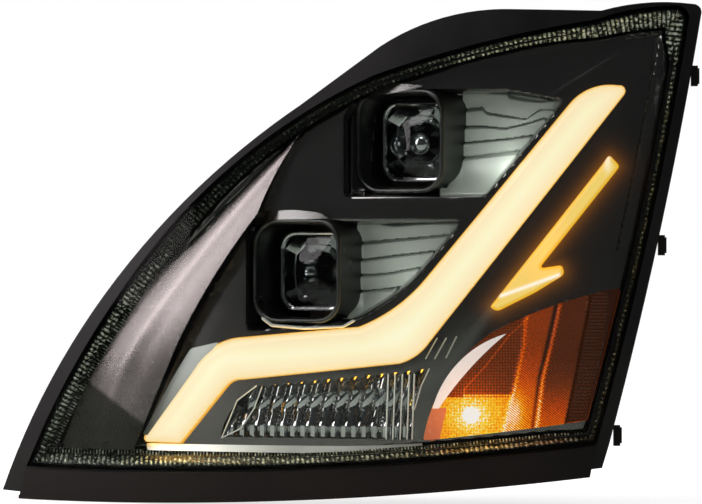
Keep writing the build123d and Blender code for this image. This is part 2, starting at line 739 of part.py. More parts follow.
NODES = {
    "rear_housing": rear_housing,
    "mounting_studs": mounting_studs,
    "outer_lens": outer_lens,
    "lens_sealant": lens_sealant,
    "lower_trim_strip": lower_trim_strip,
    "retainer_tabs": retainer_tabs,
    "inner_bezel": inner_bezel,
    "low_beam_shroud": lambda: shroud(LOW_BEAM),
    "high_beam_shroud": lambda: shroud(HIGH_BEAM),
    "low_beam_louvre": lambda: louvre(LOW_LOUVRE, 5),
    "high_beam_louvre": lambda: louvre(HIGH_LOUVRE, 5),
    "light_bar_diffuser": light_bar_diffuser,
    "light_bar_channel": light_bar_channel,
    "light_bar_board": light_bar_board,
    "light_bar_leds": light_bar_leds,
    "accent_guide": accent_guide,
    "accent_board": accent_board,
    "turn_lens": turn_lens,
    "marker_lens": marker_lens,
    "turn_reflector": turn_reflector,
    "parking_lens": parking_lens,
    "parking_reflector": parking_reflector,
    "parking_board": parking_board,
    "pivot_brackets": pivot_brackets,
    "aim_carrier": aim_carrier,
    "pivot_pins": pivot_pins,
    "adjuster_rod": adjuster_rod,
    "adjuster_nut": adjuster_nut,
    "turn_socket": lambda: socket(*TURN_SOCKET, STEP_REAR),
    "turn_socket_seal": lambda: socket_seal(*TURN_SOCKET, STEP_REAR),
    "turn_bulb": lambda: socket_bulb(*TURN_SOCKET, STEP_REAR),
    "marker_socket": marker_socket,
    "marker_socket_seal": marker_seal,
    "marker_bulb": marker_bulb,
    "driver_case": driver_case,
    "driver_heatsink": driver_heatsink,
    "driver_screws": driver_screws,
    "harness_connector": harness_connector,
    "connector_pins": connector_pins,
    "vent_caps": vent_caps,
}
for side, beam in (("low", LOW_BEAM), ("high", HIGH_BEAM)):
    NODES[side + "_beam_reflector"] = lambda lamp=beam: reflector(lamp)
    NODES[side + "_beam_holder"] = lambda lamp=beam: holder(lamp)
    NODES[side + "_beam_glass"] = lambda lamp=beam: lamp_glass(lamp)
    NODES[side + "_bulb_shield"] = lambda lamp=beam: bulb_shield(lamp)
    NODES[side + "_bulb_glass"] = lambda lamp=beam: bulb_glass(lamp)
    NODES[side + "_bulb_base"] = lambda lamp=beam: bulb_base(lamp)
    NODES[side + "_bulb_seal"] = lambda lamp=beam: bulb_seal(lamp)
    NODES[side + "_beam_cap"] = lambda lamp=beam: rear_cap(lamp)
    NODES[side + "_beam_cap_seal"] = lambda lamp=beam: cap_seal(lamp)


def main():
    """Builds every node and writes one STEP file for each."""
    os.makedirs("parts", exist_ok=True)
    for name, build in NODES.items():
        made = build()
        solids = [s for piece in (made if isinstance(made, list) else [made]) for s in piece.solids()]
        export_step(Compound(children=solids), f"parts/{name}.step")
        print(name, len(solids))


main()
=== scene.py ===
"""Blender scene of a swept vehicle headlight: lens, bezel, light bar, two lamps and an amber corner.

The face frame is u (right), w (into the lamp) and z (up), in millimetres, turned about the vehicle's
vertical. A depth t is measured behind the outer lens's outer surface.
"""
import math

import bpy
import numpy as np
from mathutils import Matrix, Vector


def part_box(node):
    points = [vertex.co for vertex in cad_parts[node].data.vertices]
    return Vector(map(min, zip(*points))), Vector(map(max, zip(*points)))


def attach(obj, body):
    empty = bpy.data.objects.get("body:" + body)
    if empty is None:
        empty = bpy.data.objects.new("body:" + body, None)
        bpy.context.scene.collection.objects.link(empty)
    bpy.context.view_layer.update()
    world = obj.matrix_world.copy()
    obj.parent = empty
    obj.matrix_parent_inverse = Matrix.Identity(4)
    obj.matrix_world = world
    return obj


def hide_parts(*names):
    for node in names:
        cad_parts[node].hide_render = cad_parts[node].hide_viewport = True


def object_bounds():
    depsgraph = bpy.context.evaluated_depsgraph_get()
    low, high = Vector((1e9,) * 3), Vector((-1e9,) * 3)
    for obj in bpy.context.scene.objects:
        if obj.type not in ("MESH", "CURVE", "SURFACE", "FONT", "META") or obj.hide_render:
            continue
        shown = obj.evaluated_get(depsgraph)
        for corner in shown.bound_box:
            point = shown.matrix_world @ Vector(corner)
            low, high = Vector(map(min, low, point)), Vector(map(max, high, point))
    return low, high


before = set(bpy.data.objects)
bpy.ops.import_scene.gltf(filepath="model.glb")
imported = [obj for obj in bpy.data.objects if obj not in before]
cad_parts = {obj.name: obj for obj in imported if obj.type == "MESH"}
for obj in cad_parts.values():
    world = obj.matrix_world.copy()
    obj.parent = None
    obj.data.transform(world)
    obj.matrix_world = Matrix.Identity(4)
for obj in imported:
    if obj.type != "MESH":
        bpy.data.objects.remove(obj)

CAD_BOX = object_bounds()
MM = 0.001
FACE_TURN = math.radians(28)
LENS_RADIUS, LENS_RISE = 600.0, 1200.0
APEX_U, APEX_W, APEX_Z = 40.0, -230.0, -60.0
BEZEL_DEPTH = 30.0
POCKET_DEPTH = 72.0  # the floor of the two lamp pockets
BROW_SLOT_DEPTH = 64.0  # the bezel under a brow, out of its way
BEZEL_ROLL = 5.0  # how far the bezel's outer edge turns in
BLADE_SINK = 14.0  # how far the bezel drops under the swept blade
SEAL_WIDTH = 3.3  # the lens's plain edge, outside its fluted border
BAR_DEPTH = 22.0
RIB_DEPTH = 27.5
LOW_LAMP = {"key": "low", "x": -31.0, "z": 17.0, "rim": -214.0, "mouth": -182.0, "neck": -110.0}
HIGH_LAMP = {"key": "high", "x": 49.0, "z": 132.0, "rim": -170.0, "mouth": -138.0, "neck": -92.0}
SHROUD_W, SHROUD_H, SHROUD_R, SHROUD_WALL = 88.0, 92.0, 22.0, 4.0
HOLDER_W, HOLDER_H, HOLDER_R = 68.0, 71.0, 15.0
BOWL_NECK_R = 16.0
GLASS_CROWN = 3.0
BULB = (27.0, -110.0)
WARM_BOX = (1.0, 0.91, 0.93)
KEY_TINT = (1.0, 0.93, 0.95)
COOL_BOX = (0.96, 1.0, 0.97)
AMBER_SPILL = (1.0, 0.36, 0.04)
WHITE_SPILL = (0.95, 1.0, 0.93)


# ---- face frame -----------------------------------------------------------------------------------
def to_vehicle(u, w, z):
    """Face-frame millimetres as an array of points in metres."""
    c, s = math.cos(FACE_TURN), math.sin(FACE_TURN)
    return np.stack([u * c - w * s, u * s + w * c, z + 0 * u], axis=-1) * MM


def lens_w(u, z, t):
    """How deep the surface t behind the lens lies at u and z."""
    r = LENS_RADIUS - LENS_RISE + np.sqrt((LENS_RISE - t) ** 2 - (z - APEX_Z) ** 2)
    return APEX_W + LENS_RADIUS - np.sqrt(r * r - (u - APEX_U) ** 2)


def behind_lens(u, z, t):
    """Points at depth t behind the lens."""
    return to_vehicle(u, lens_w(u, z, t), z)


# ---- outlines -------------------------------------------------------------------------------------
def arc(a, b, c, step=3.0):
    """Points from a through b to c on their circle, without the last."""
    (ax, ay), (bx, by), (cx, cy) = a, b, c
    d = 2 * (ax * (by - cy) + bx * (cy - ay) + cx * (ay - by))
    sa, sb, sc = ax * ax + ay * ay, bx * bx + by * by, cx * cx + cy * cy
    ox = (sa * (by - cy) + sb * (cy - ay) + sc * (ay - by)) / d
    oy = (sa * (cx - bx) + sb * (ax - cx) + sc * (bx - ax)) / d
    radius = math.hypot(ax - ox, ay - oy)
    start = math.atan2(ay - oy, ax - ox)
    turn = lambda x, y: (math.atan2(y - oy, x - ox) - start) % (2 * math.pi)
    sweep = turn(cx, cy) if turn(bx, by) < turn(cx, cy) else turn(cx, cy) - 2 * math.pi
    count = max(3, int(abs(sweep) * radius / step))
    angles = start + sweep * np.arange(count) / count
    return [(ox + radius * math.cos(q), oy + radius * math.sin(q)) for q in angles]


def outline(*runs):
    """A closed outline from runs: two points make a line and three an arc through the middle one."""
    points = []
    for run in runs:
        points += arc(*run) if len(run) == 3 else [run[0]]
    return np.array(points)


def polygon(*points, radius=0.0):
    """A closed outline with straight sides and rounded corners."""
    if not radius:
        return np.array(points)
    rounded = []
    for i, corner in enumerate(points):
        here = np.array(corner)
        ends = []
        for other in (points[i - 1], points[(i + 1) % len(points)]):
            way = np.array(other) - here
            length = np.hypot(*way)
            ends.append(here + way / length * min(radius, 0.45 * length))
        for k in np.linspace(0, 1, 6):
            rounded.append((1 - k) ** 2 * ends[0] + 2 * k * (1 - k) * here + k * k * ends[1])
    return np.array(rounded)


def distance(u, z, shape):
    """Signed distance to a closed outline, positive inside it."""
    flat = np.stack([np.ravel(u), np.ravel(z)], axis=1)
    start, way = shape, np.roll(shape, -1, axis=0) - shape
    length2 = np.maximum((way**2).sum(axis=1), 1e-9)
    found = np.empty(len(flat))
    for at in range(0, len(flat), 6000):
        p = flat[at : at + 6000, None, :]
        rel = p - start[None]
        k = np.clip((rel * way[None]).sum(axis=2) / length2, 0, 1)
        near = np.sqrt(((rel - k[..., None] * way[None]) ** 2).sum(axis=2).min(axis=1))
        above = start[None, :, 1] > p[..., 1]
        crosses = above != (np.roll(start, -1, axis=0)[None, :, 1] > p[..., 1])
        slope = np.where(np.abs(way[:, 1]) < 1e-9, 1e-9, way[:, 1])
        at_u = start[None, :, 0] + (p[..., 1] - start[None, :, 1]) * (way[:, 0] / slope)[None]
        inside = (crosses & (p[..., 0] < at_u)).sum(axis=1) % 2 == 1
        found[at : at + 6000] = np.where(inside, near, -near)
    return found.reshape(np.shape(u))


def smooth(low, high, x):
    """0 below low, 1 above high, and smooth between them."""
    k = np.clip((x - low) / (high - low), 0, 1)
    return k * k * (3 - 2 * k)


LENS = outline(
    ((-373, -160), (-120, -156.5), (137, -134)),
    ((137, -134), (183, 50), (221, 239)),
    ((221, 239), (219, 249), (210, 253)),
    ((210, 253), (173, 249), (136, 239)),
    ((136, 239), (38, 219), (-58, 190)),
    ((-58, 190), (-150, 137), (-231, 66)),
    ((-231, 66), (-302, -27), (-355, -120)),
    ((-355, -120), (-373, -160)),
)
LIGHT_BAR = outline(
    ((-231, -137), (-190, -86)),
    ((-190, -86), (-184, -81), (-176, -79.5)),
    ((-176, -79.5), (-36, -64.5)),
    ((-36, -64.5), (-22, -58), (-10, -46)),
    ((-10, -46), (164, 174)),
    ((164, 174), (164, 180), (158, 182)),
    ((158, 182), (136, 180), (116, 167)),
    ((116, 167), (-17, 6)),
    ((-17, 6), (-42, -16), (-72, -32)),
    ((-72, -32), (-180, -42)),
    ((-180, -42), (-203, -51), (-220, -69)),
    ((-220, -69), (-264, -130)),
    ((-264, -130), (-264, -135), (-259, -136.5)),
    ((-259, -136.5), (-231, -137)),
)
ACCENT = polygon(
    (42, -15), (150, 121), (160, 110), (88, 20), (108, 23), (110, 14), (84, -2), (50, -19), radius=4
)
TURN = outline(
    ((-17, -134), (3, -79), (44, -36)),
    ((44, -36), (99, -12), (162, 4)),
    ((162, 4), (131, -116)),
    ((131, -116), (56, -126), (-17, -134)),
)
PARKING = outline(
    ((-197, -132), (-184, -102), (-163, -84)),
    ((-163, -84), (-32, -70)),
    ((-32, -70), (-8, -67)),
    ((-8, -67), (-24, -106)),
    ((-24, -106), (-24, -133)),
    ((-24, -133), (-197, -132)),
)
LOW_RECESS = polygon((-172, 62), (22, 62), (-24, 8), (-46, -10), (-74, -27), (-172, -37), radius=8)
HIGH_RECESS = polygon(
    (-86, 82), (-86, 158), (-74, 169), (-40, 179), (60, 178), (112, 169), (40, 82), radius=8
)
LOW_BROW = polygon((-171, 58), (-118, 63), (-98, 64), (-108, 69), (-130, 71.5), (-160, 70), radius=3)
HIGH_BROW = polygon((-78, 168.5), (-25, 178), (-14, 181), (-42, 184), (-66, 180), radius=3)
BAR_FLANK = polygon((-196, -46), (-222, -52), (-238, -78), (-266, -130), (-258, -130), (-214, -66), radius=3)
LEDGE = polygon(
    (-262, -136.5), (-24, -132.5), (-16, -134), (-16, -139), (-120, -144), (-262, -143.5), radius=2
)
LAMP_LIP = ((-157, -25), (-149, -31), (-120, -33.5), (-86, -32), (-77, -27))
SLASHES = (((-3, -42), (-13, -60)), ((5, -42), (-5, -60)), ((14, -41), (5, -59)))
SWEEP = outline(
    ((-121, 143), (-160, 102), (-188, 75)),
    ((-188, 75), (-227, 35), (-269, 3)),
    ((-269, 3), (-309, -64), (-341, -148)),
    ((-341, -148), (-275, -146)),
    ((-275, -146), (-256, -100), (-233, -46)),
    ((-233, -46), (-186, 35), (-162, 68)),
    ((-162, 68), (-144, 107), (-121, 143)),
)


# ---- mesh helpers ---------------------------------------------------------------------------------
def make_piece(name, points, faces, material, body="housing", slot=None, facts=None, sharp=38):
    """A mesh object from points in metres, riding on a body, with a material and point attributes."""
    mesh = bpy.data.meshes.new(name)
    mesh.from_pydata([tuple(map(float, p)) for p in points], [], [tuple(map(int, f)) for f in faces])
    mesh.validate()
    mesh.shade_smooth()
    mesh.set_sharp_from_angle(angle=math.radians(sharp))
    for key, values in (facts or {}).items():
        mesh.attributes.new(key, "FLOAT", "POINT").data.foreach_set("value", np.asarray(values, float))
    mesh.materials.append(material)
    piece = bpy.data.objects.new(name, mesh)
    bpy.context.scene.collection.objects.link(piece)
    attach(piece, body)
    return piece


def snapped_grid(inside, box, step):
    """Grid points and faces that fill where inside(u, z) > 0, with the edge points moved onto the edge."""
    us = np.arange(box[0], box[2] + step, step)
    zs = np.arange(box[1], box[3] + step, step)
    u, z = np.meshgrid(us, zs)
    field = inside(u, z)
    for _ in range(2):
        near = np.abs(field) < 0.75 * step
        nu, nz, level = u[near], z[near], field[near]
        du = (inside(nu + 0.2, nz) - inside(nu - 0.2, nz)) / 0.4
        dz = (inside(nu, nz + 0.2) - inside(nu, nz - 0.2)) / 0.4
        size = np.maximum(du * du + dz * dz, 0.2)
        move = np.where(level < 0.45 * step, level, 0)
        u[near], z[near] = nu - move * du / size, nz - move * dz / size
        field[near] = np.where(level < 0.45 * step, 0, level)
    keep = field > -1e-6
    rows, cols = keep.shape
    index = np.arange(rows * cols).reshape(rows, cols)
    corners = np.stack([index[:-1, :-1], index[:-1, 1:], index[1:, 1:], index[1:, :-1]], axis=-1)
    kept = keep.ravel()[corners]
    count = kept.sum(axis=-1)
    faces = [tuple(f) for f in corners[count == 4]]
    for f, k in zip(corners[count == 3], kept[count == 3]):
        faces.append(tuple(f[k]))
    used = np.unique(np.concatenate([np.array(f) for f in faces]))
    new = -np.ones(rows * cols, int)
    new[used] = np.arange(len(used))
    return u.ravel()[used], z.ravel()[used], [tuple(new[list(f)]) for f in faces]


def border_edges(faces):
    """Directed edges that only one face has."""
    seen = {}
    for f in faces:
        for a, b in zip(f, f[1:] + f[:1]):
            seen[(a, b)] = True
    return [(a, b) for a, b in seen if (b, a) not in seen]


def field_piece(name, inside, depth, box, material, step=1.5, skirt=0.0, facts=None, drop=None, **more):
    """A sheet at depth(u, z) behind the lens over the region inside(u, z) > 0, with a skirt behind it."""
    u, z, faces = snapped_grid(inside, box, step)
    t = depth(u, z)
    points = behind_lens(u, z, t)
    if drop is not None:
        gone = drop(points)
        faces = [f for f in faces if not gone[list(f)].all()]
    values = {"face_u": u, "face_z": z}
    for key, rule in (facts or {}).items():
        values[key] = rule(u, z)
    if skirt:
        edges = border_edges(faces)
        rim = sorted({a for e in edges for a in e})
        at = {a: len(points) + i for i, a in enumerate(rim)}
        points = np.concatenate([points, behind_lens(u[rim], z[rim], t[rim] + skirt)])
        faces += [(b, a, at[a], at[b]) for a, b in edges]
        values = {k: np.concatenate([v, v[rim]]) for k, v in values.items()}
    return make_piece(name, points, faces, material, facts=values, **more)


def loft(name, loops, material, cap=False, **more):
    """A tube through closed loops of equally many points, in metres."""
    count = len(loops[0])
    points = np.concatenate(loops)
    faces = []
    for row in range(len(loops) - 1):
        for i in range(count):
            j = (i + 1) % count
            faces.append((row * count + i, row * count + j, (row + 1) * count + j, (row + 1) * count + i))
    if cap:
        faces.append(tuple(range((len(loops) - 1) * count, len(loops) * count)))
    return make_piece(name, points, faces, material, **more)


def rounded_loop(x, z, width, height, radius, y, per_corner=10, per_side=8):
    """A rounded rectangle at that y in the vehicle frame, in metres."""
    hw, hh = width / 2, height / 2
    radius = min(radius, hw, hh)
    loop = []
    for sx, sz, start in ((1, 1, 0), (-1, 1, 90), (-1, -1, 180), (1, -1, 270)):
        cx, cz = x + sx * (hw - radius), z + sz * (hh - radius)
        for k in range(per_corner + 1):
            angle = math.radians(start + 90 * k / per_corner)
            loop.append((cx + radius * math.cos(angle), cz + radius * math.sin(angle)))
    filled = []
    for i, a in enumerate(loop):
        b = loop[(i + 1) % len(loop)]
        filled.append(a)
        if i % (per_corner + 1) == per_corner:
            for k in range(1, per_side):
                f = k / per_side
                filled.append((a[0] + (b[0] - a[0]) * f, a[1] + (b[1] - a[1]) * f))
    flat = np.array(filled)
    return np.stack([flat[:, 0], np.full(len(flat), y), flat[:, 1]], axis=1) * MM


# ---- material helpers -----------------------------------------------------------------------------
def srgb(r, g, b):
    """A display colour of 0 to 255 as linear RGBA."""
    linear = [((c / 255 + 0.055) / 1.055) ** 2.4 if c > 10 else c / 255 / 12.92 for c in (r, g, b)]
    return (*linear, 1.0)


class Nodes:
    """A material's node tree with short calls for adding and joining nodes."""

    def __init__(self, name):
        self.material = bpy.data.materials.new(name)
        self.material.use_nodes = True
        self.tree = self.material.node_tree
        self.tree.nodes.clear()
        self.output = self.add("ShaderNodeOutputMaterial")

    def add(self, kind, **settings):
        node = self.tree.nodes.new(kind)
        for key, value in settings.items():
            setattr(node, key, value)
        return node

    def join(self, source, target):
        self.tree.links.new(source, target)

    def surface(self, shader):
        self.join(shader, self.output.inputs["Surface"])
        return self.material

    def principled(self, **values):
        node = self.add("ShaderNodeBsdfPrincipled")
        for key, value in values.items():
            node.inputs[key.replace("_", " ")].default_value = value
        return node

    def noise(self, scale, detail=4.0, roughness=0.55):
        place = self.add("ShaderNodeTexCoord")
        node = self.add("ShaderNodeTexNoise")
        node.inputs["Scale"].default_value = scale
        node.inputs["Detail"].default_value = detail
        node.inputs["Roughness"].default_value = roughness
        self.join(place.outputs["Object"], node.inputs["Vector"])
        return node.outputs["Fac"]

    def fact(self, name):
        return self.add("ShaderNodeAttribute", attribute_name=name).outputs["Fac"]

    def math(self, operation, a, b=0.0, c=0.0):
        node = self.add("ShaderNodeMath", operation=operation)
        for socket, value in zip(node.inputs, (a, b, c)):
            if isinstance(value, (int, float)):
                socket.default_value = value
            else:
                self.join(value, socket)
        return node.outputs[0]

    def plus(self, a, b):
        return self.math("ADD", a, b)

    def minus(self, a, b):
        return self.math("SUBTRACT", a, b)

    def times(self, a, b):
        return self.math("MULTIPLY", a, b)

    def ramp(self, factor, *stops):
        node = self.add("ShaderNodeValToRGB")
        elements = node.color_ramp.elements
        while len(elements) < len(stops):
            elements.new(1.0)
        for element, (position, colour) in zip(elements, stops):
            element.position = position
            element.color = colour
        self.join(factor, node.inputs["Fac"])
        return node.outputs["Color"]

    def span(self, factor, low, high, to_low, to_high):
        node = self.add("ShaderNodeMapRange")
        for key, value in zip(("From Min", "From Max", "To Min", "To Max"), (low, high, to_low, to_high)):
            node.inputs[key].default_value = value
        self.join(factor, node.inputs["Value"])
        return node.outputs["Result"]

    def bump(self, shader, height, strength, depth):
        node = self.add("ShaderNodeBump")
        node.inputs["Strength"].default_value = strength
        node.inputs["Distance"].default_value = depth
        self.join(height, node.inputs["Height"])
        self.join(node.outputs["Normal"], shader.inputs["Normal"])


def moulded(
    name, dark, light, rough=(0.4, 0.55), grain=900.0, strength=0.25, metallic=0.0, gleam=0.5, spill=0.0
):
    """Moulded plastic or a painted part: slight colour drift, uneven gloss and a fine grain, with an optional
    painted amber glow given as emission from a point attribute.
    """
    n = Nodes(name)
    shader = n.principled(Metallic=metallic, Specular_IOR_Level=gleam)
    # Painted amber glow: emission scaled by the spill attribute, on a part that is no lamp.
    if spill:
        shader.inputs["Emission Color"].default_value = srgb(255, 150, 20)
        n.join(n.times(n.fact("spill"), spill), shader.inputs["Emission Strength"])
    drift = n.noise(9.0)
    n.join(n.ramp(drift, (0.3, srgb(*dark)), (0.7, srgb(*light))), shader.inputs["Base Color"])
    n.join(n.span(n.noise(38.0), 0.3, 0.7, *rough), shader.inputs["Roughness"])
    n.bump(shader, n.noise(grain, 2.0), strength, 0.0002)
    return n.surface(shader.outputs[0])


def painted_light_finish(name, dark, light, rough, metallic):
    """A smooth finish whose colour runs from dark to light with a painted light level that the piece carries
    as a point attribute: painted highlight and shade, with a little random drift.
    """
    n = Nodes(name)
    shader = n.principled(Metallic=metallic)
    drift = n.times(n.minus(n.noise(30.0), 0.5), 0.08)
    # Painted light: the point attribute read here is a painted highlight or shade level.
    painted_light = n.plus(n.fact("painted_light"), drift)
    n.join(n.ramp(painted_light, (0.0, srgb(*dark)), (1.0, srgb(*light))), shader.inputs["Base Color"])
    n.join(n.span(n.noise(38.0), 0.3, 0.7, *rough), shader.inputs["Roughness"])
    n.bump(shader, n.noise(500.0, 2.0), 0.01, 0.0002)
    return n.surface(shader.outputs[0])


def metal(name, colour, rough=(0.08, 0.16), brushed=0.0, strength=0.05):
    """Bare or metallised metal, with an optional brushed grain along x."""
    n = Nodes(name)
    shader = n.principled(Metallic=1.0)
    dim = tuple(c * 0.82 for c in colour[:3]) + (1.0,)
    n.join(n.ramp(n.noise(14.0), (0.35, dim), (0.65, colour)), shader.inputs["Base Color"])
    n.join(n.span(n.noise(60.0), 0.3, 0.7, *rough), shader.inputs["Roughness"])
    if brushed:
        place = n.add("ShaderNodeTexCoord")
        stretch = n.add("ShaderNodeMapping")
        stretch.inputs["Scale"].default_value = (20.0, brushed, brushed)
        n.join(place.outputs["Object"], stretch.inputs["Vector"])
        lines = n.add("ShaderNodeTexNoise")
        lines.inputs["Scale"].default_value = 1.0
        n.join(stretch.outputs["Vector"], lines.inputs["Vector"])
        n.bump(shader, lines.outputs["Fac"], strength, 0.0002)
    else:
        n.bump(shader, n.noise(300.0, 2.0), strength, 0.0001)
    return n.surface(shader.outputs[0])


def clear_cover(name, tint, ior=1.2, rough=0.02, ripple=0.0):
    """A clear cover: it tints what is behind it and adds a thin reflection."""
    n = Nodes(name)
    through = n.add("ShaderNodeBsdfTransparent")
    n.join(n.ramp(n.noise(6.0), (0.3, tint), (0.7, tuple(min(1, c * 1.02) for c in tint))), through.inputs[0])
    gloss = n.add("ShaderNodeBsdfGlossy")
    gloss.inputs["Roughness"].default_value = rough
    fresnel = n.add("ShaderNodeFresnel")
    fresnel.inputs["IOR"].default_value = ior
    if ripple:
        n.bump(gloss, n.noise(ripple, 1.0), 0.15, 0.0003)
    mix = n.add("ShaderNodeMixShader")
    n.join(fresnel.outputs[0], mix.inputs[0])
    n.join(through.outputs[0], mix.inputs[1])
    n.join(gloss.outputs[0], mix.inputs[2])
    return n.surface(mix.outputs[0])


def lamp_strength(n, seen, cast):
    """An emission strength that is seen directly as one value and lights other parts as another."""
    path = n.add("ShaderNodeLightPath")
    return n.span(path.outputs["Is Camera Ray"], 0.0, 1.0, cast, seen)


def bar_material():
    """The lit milky light bar: cream inside, peach outside the crown and a golden edge."""
    n = Nodes("light_bar_milky")
    edge = n.fact("edge")
    speck = n.times(n.minus(n.noise(420.0, 2.0), 0.5), 1.6)
    along = n.plus(edge, speck)
    colour = n.ramp(
        n.span(along, 0.0, 24.0, 0.0, 1.0),
        (0.0, srgb(238, 166, 50)),
        (0.03, srgb(250, 200, 96)),
        (0.07, srgb(254, 226, 168)),
        (0.30, srgb(254, 234, 190)),
        (0.62, srgb(255, 243, 200)),
        (0.95, srgb(255, 249, 212)),
    )
    shader = n.principled(Base_Color=srgb(60, 55, 45), Roughness=0.3)
    n.join(colour, shader.inputs["Emission Color"])
    n.join(lamp_strength(n, 1.0, 6.0), shader.inputs["Emission Strength"])
    return n.surface(shader.outputs[0])


def border_material():
    """The lens border's small optical blocks, with painted glints: pale faces between dark gaps."""
    n = Nodes("lens_border_blocks")
    place, across = n.fact("place"), n.fact("across")

    def wave(period, sharp):
        turns = n.times(place, 2 * math.pi / period)
        return n.math("POWER", n.plus(n.times(n.math("SINE", turns), 0.5), 0.5), sharp)

    split = n.fact("split")
    outer = n.math("LESS_THAN", across, split)
    inner = n.minus(1.0, outer)
    half_turns = n.math("DIVIDE", n.times(across, math.pi), split)
    rows = n.math("POWER", n.math("ABSOLUTE", n.math("SINE", half_turns)), 0.5)
    large = n.times(wave(4.4, 0.7), outer)
    cells = n.plus(large, n.times(wave(2.9, 1.6), inner))
    # Painted glints: random sparkle times the placed glint level brightens the blocks' faces.
    painted_sparkle = n.span(n.noise(260.0, 3.0), 0.42, 0.64, 0.15, 1.3)
    lit = n.times(painted_sparkle, n.fact("painted_glint"))
    bright = n.times(n.times(cells, rows), lit)
    shader = n.principled(Metallic=0.35, Roughness=0.22)
    colour = n.ramp(
        bright,
        (0.0, srgb(10, 12, 11)),
        (0.25, srgb(78, 86, 74)),
        (0.6, srgb(190, 198, 176)),
        (1.0, srgb(250, 252, 244)),
    )
    n.join(colour, shader.inputs["Base Color"])
    n.bump(shader, cells, 0.4, 0.001)
    return n.surface(shader.outputs[0])


def accent_material():
    """The lit amber light guide, with a white core line and deeper edges."""
    n = Nodes("accent_amber_lit")
    edge = n.plus(n.fact("edge"), n.times(n.minus(n.noise(500.0), 0.5), 2.0))
    body = n.ramp(
        n.span(edge, 0.0, 4.4, 0.0, 1.0),
        (0.0, srgb(190, 110, 5)),
        (0.14, srgb(245, 178, 12)),
        (0.42, srgb(226, 186, 66)),
        (1.0, srgb(232, 208, 112)),
    )
    mix = n.add("ShaderNodeMix", data_type="RGBA")
    n.join(n.fact("core"), mix.inputs["Factor"])
    n.join(body, mix.inputs["A"])
    mix.inputs["B"].default_value = srgb(255, 252, 236)
    shader = n.principled(Base_Color=srgb(120, 70, 10), Roughness=0.2)
    n.join(mix.outputs["Result"], shader.inputs["Emission Color"])
    n.join(lamp_strength(n, 0.95, 2.2), shader.inputs["Emission Strength"])
    return n.surface(shader.outputs[0])


def amber_material():
    """The turn lamp's amber lens, lit from its bulb: each moulded zone has its own ribs."""
    n = Nodes("turn_amber_lit")
    u, z = n.fact("face_u"), n.fact("face_z")
    slant = n.plus(n.times(u, 2.3), n.times(z, 2.9))
    ribs = n.math("SINE", slant)
    cross = n.times(n.math("SINE", n.times(u, 2.5)), 0.5)
    mesh = n.plus(cross, n.times(n.math("SINE", n.times(z, 2.5)), 0.5))
    level = n.math("SINE", n.times(z, 2.1))
    pattern = n.times(ribs, n.fact("slant_zone"))
    pattern = n.plus(pattern, n.times(mesh, n.fact("grid_zone")))
    pattern = n.plus(pattern, n.times(level, n.fact("level_zone")))
    rough = n.minus(n.noise(620.0, 3.0), 0.5)
    shade = n.plus(n.times(pattern, 0.34), n.times(rough, 0.9))
    glow = n.times(n.fact("glow"), n.plus(shade, 1.0))
    colour = n.ramp(
        glow,
        (0.0, srgb(14, 7, 4)),
        (0.12, srgb(52, 21, 5)),
        (0.28, srgb(118, 46, 4)),
        (0.46, srgb(214, 74, 0)),
        (0.62, srgb(246, 118, 0)),
        (0.76, srgb(255, 176, 0)),
        (0.9, srgb(255, 222, 60)),
        (1.0, srgb(252, 248, 240)),
    )
    shader = n.principled(Base_Color=srgb(34, 12, 4), Roughness=0.24)
    n.join(colour, shader.inputs["Emission Color"])
    n.join(lamp_strength(n, 0.92, 1.6), shader.inputs["Emission Strength"])
    n.bump(shader, pattern, 0.5, 0.0006)
    return n.surface(shader.outputs[0])


# ---- stage, light and camera ----------------------------------------------------------------------
def build_stage(floor_z):
    """A plain pale floor under the lamp and an even pale surround."""
    half = 4.0
    mesh = bpy.data.meshes.new("floor")
    corners = [(-half, -half, floor_z), (half, -half, floor_z), (half, half, floor_z), (-half, half, floor_z)]
    mesh.from_pydata(corners, [], [(0, 1, 2, 3)])
    n = Nodes("floor_pale")
    path = n.add("ShaderNodeLightPath")
    paper = n.add("ShaderNodeBsdfDiffuse")
    n.join(n.ramp(n.noise(2.0), (0.3, srgb(206, 206, 206)), (0.7, srgb(212, 212, 212))), paper.inputs[0])
    lit = n.add("ShaderNodeEmission")
    lit.inputs["Color"].default_value = (0.74, 0.74, 0.74, 1)
    both = n.add("ShaderNodeAddShader")
    n.join(paper.outputs[0], both.inputs[0])
    n.join(lit.outputs[0], both.inputs[1])
    shade = n.add("ShaderNodeBsdfDiffuse")
    shade.inputs["Color"].default_value = (0.36, 0.38, 0.34, 1)
    mix = n.add("ShaderNodeMixShader")
    n.join(path.outputs["Is Glossy Ray"], mix.inputs[0])
    n.join(both.outputs[0], mix.inputs[1])
    n.join(shade.outputs[0], mix.inputs[2])
    mesh.materials.append(n.surface(mix.outputs[0]))
    floor = bpy.data.objects.new("floor", mesh)
    bpy.context.scene.collection.objects.link(floor)

    world = bpy.data.worlds.new("studio")
    bpy.context.scene.world = world
    world.use_nodes = True
    tree = world.node_tree
    background = tree.nodes["Background"]
    background.inputs["Color"].default_value = (1, 1, 1, 1)
    path = tree.nodes.new("ShaderNodeLightPath")
    for_gloss = tree.nodes.new("ShaderNodeMapRange")
    for_gloss.inputs["To Min"].default_value = 0.42
    for_gloss.inputs["To Max"].default_value = 0.035
    tree.links.new(path.outputs["Is Glossy Ray"], for_gloss.inputs["Value"])
    for_eye = tree.nodes.new("ShaderNodeMix")
    for_eye.inputs["B"].default_value = 1.0
    tree.links.new(path.outputs["Is Camera Ray"], for_eye.inputs["Factor"])
    tree.links.new(for_gloss.outputs["Result"], for_eye.inputs["A"])
    tree.links.new(for_eye.outputs["Result"], background.inputs["Strength"])


def face_direction(side_deg, up_deg):
    """A direction from the lamp, so many degrees left of the viewer and above the horizon."""
    side, up = math.radians(side_deg), math.radians(up_deg)
    point = to_vehicle(-math.sin(side) * math.cos(up), -math.cos(side) * math.cos(up), math.sin(up))
    return np.array(point) / MM


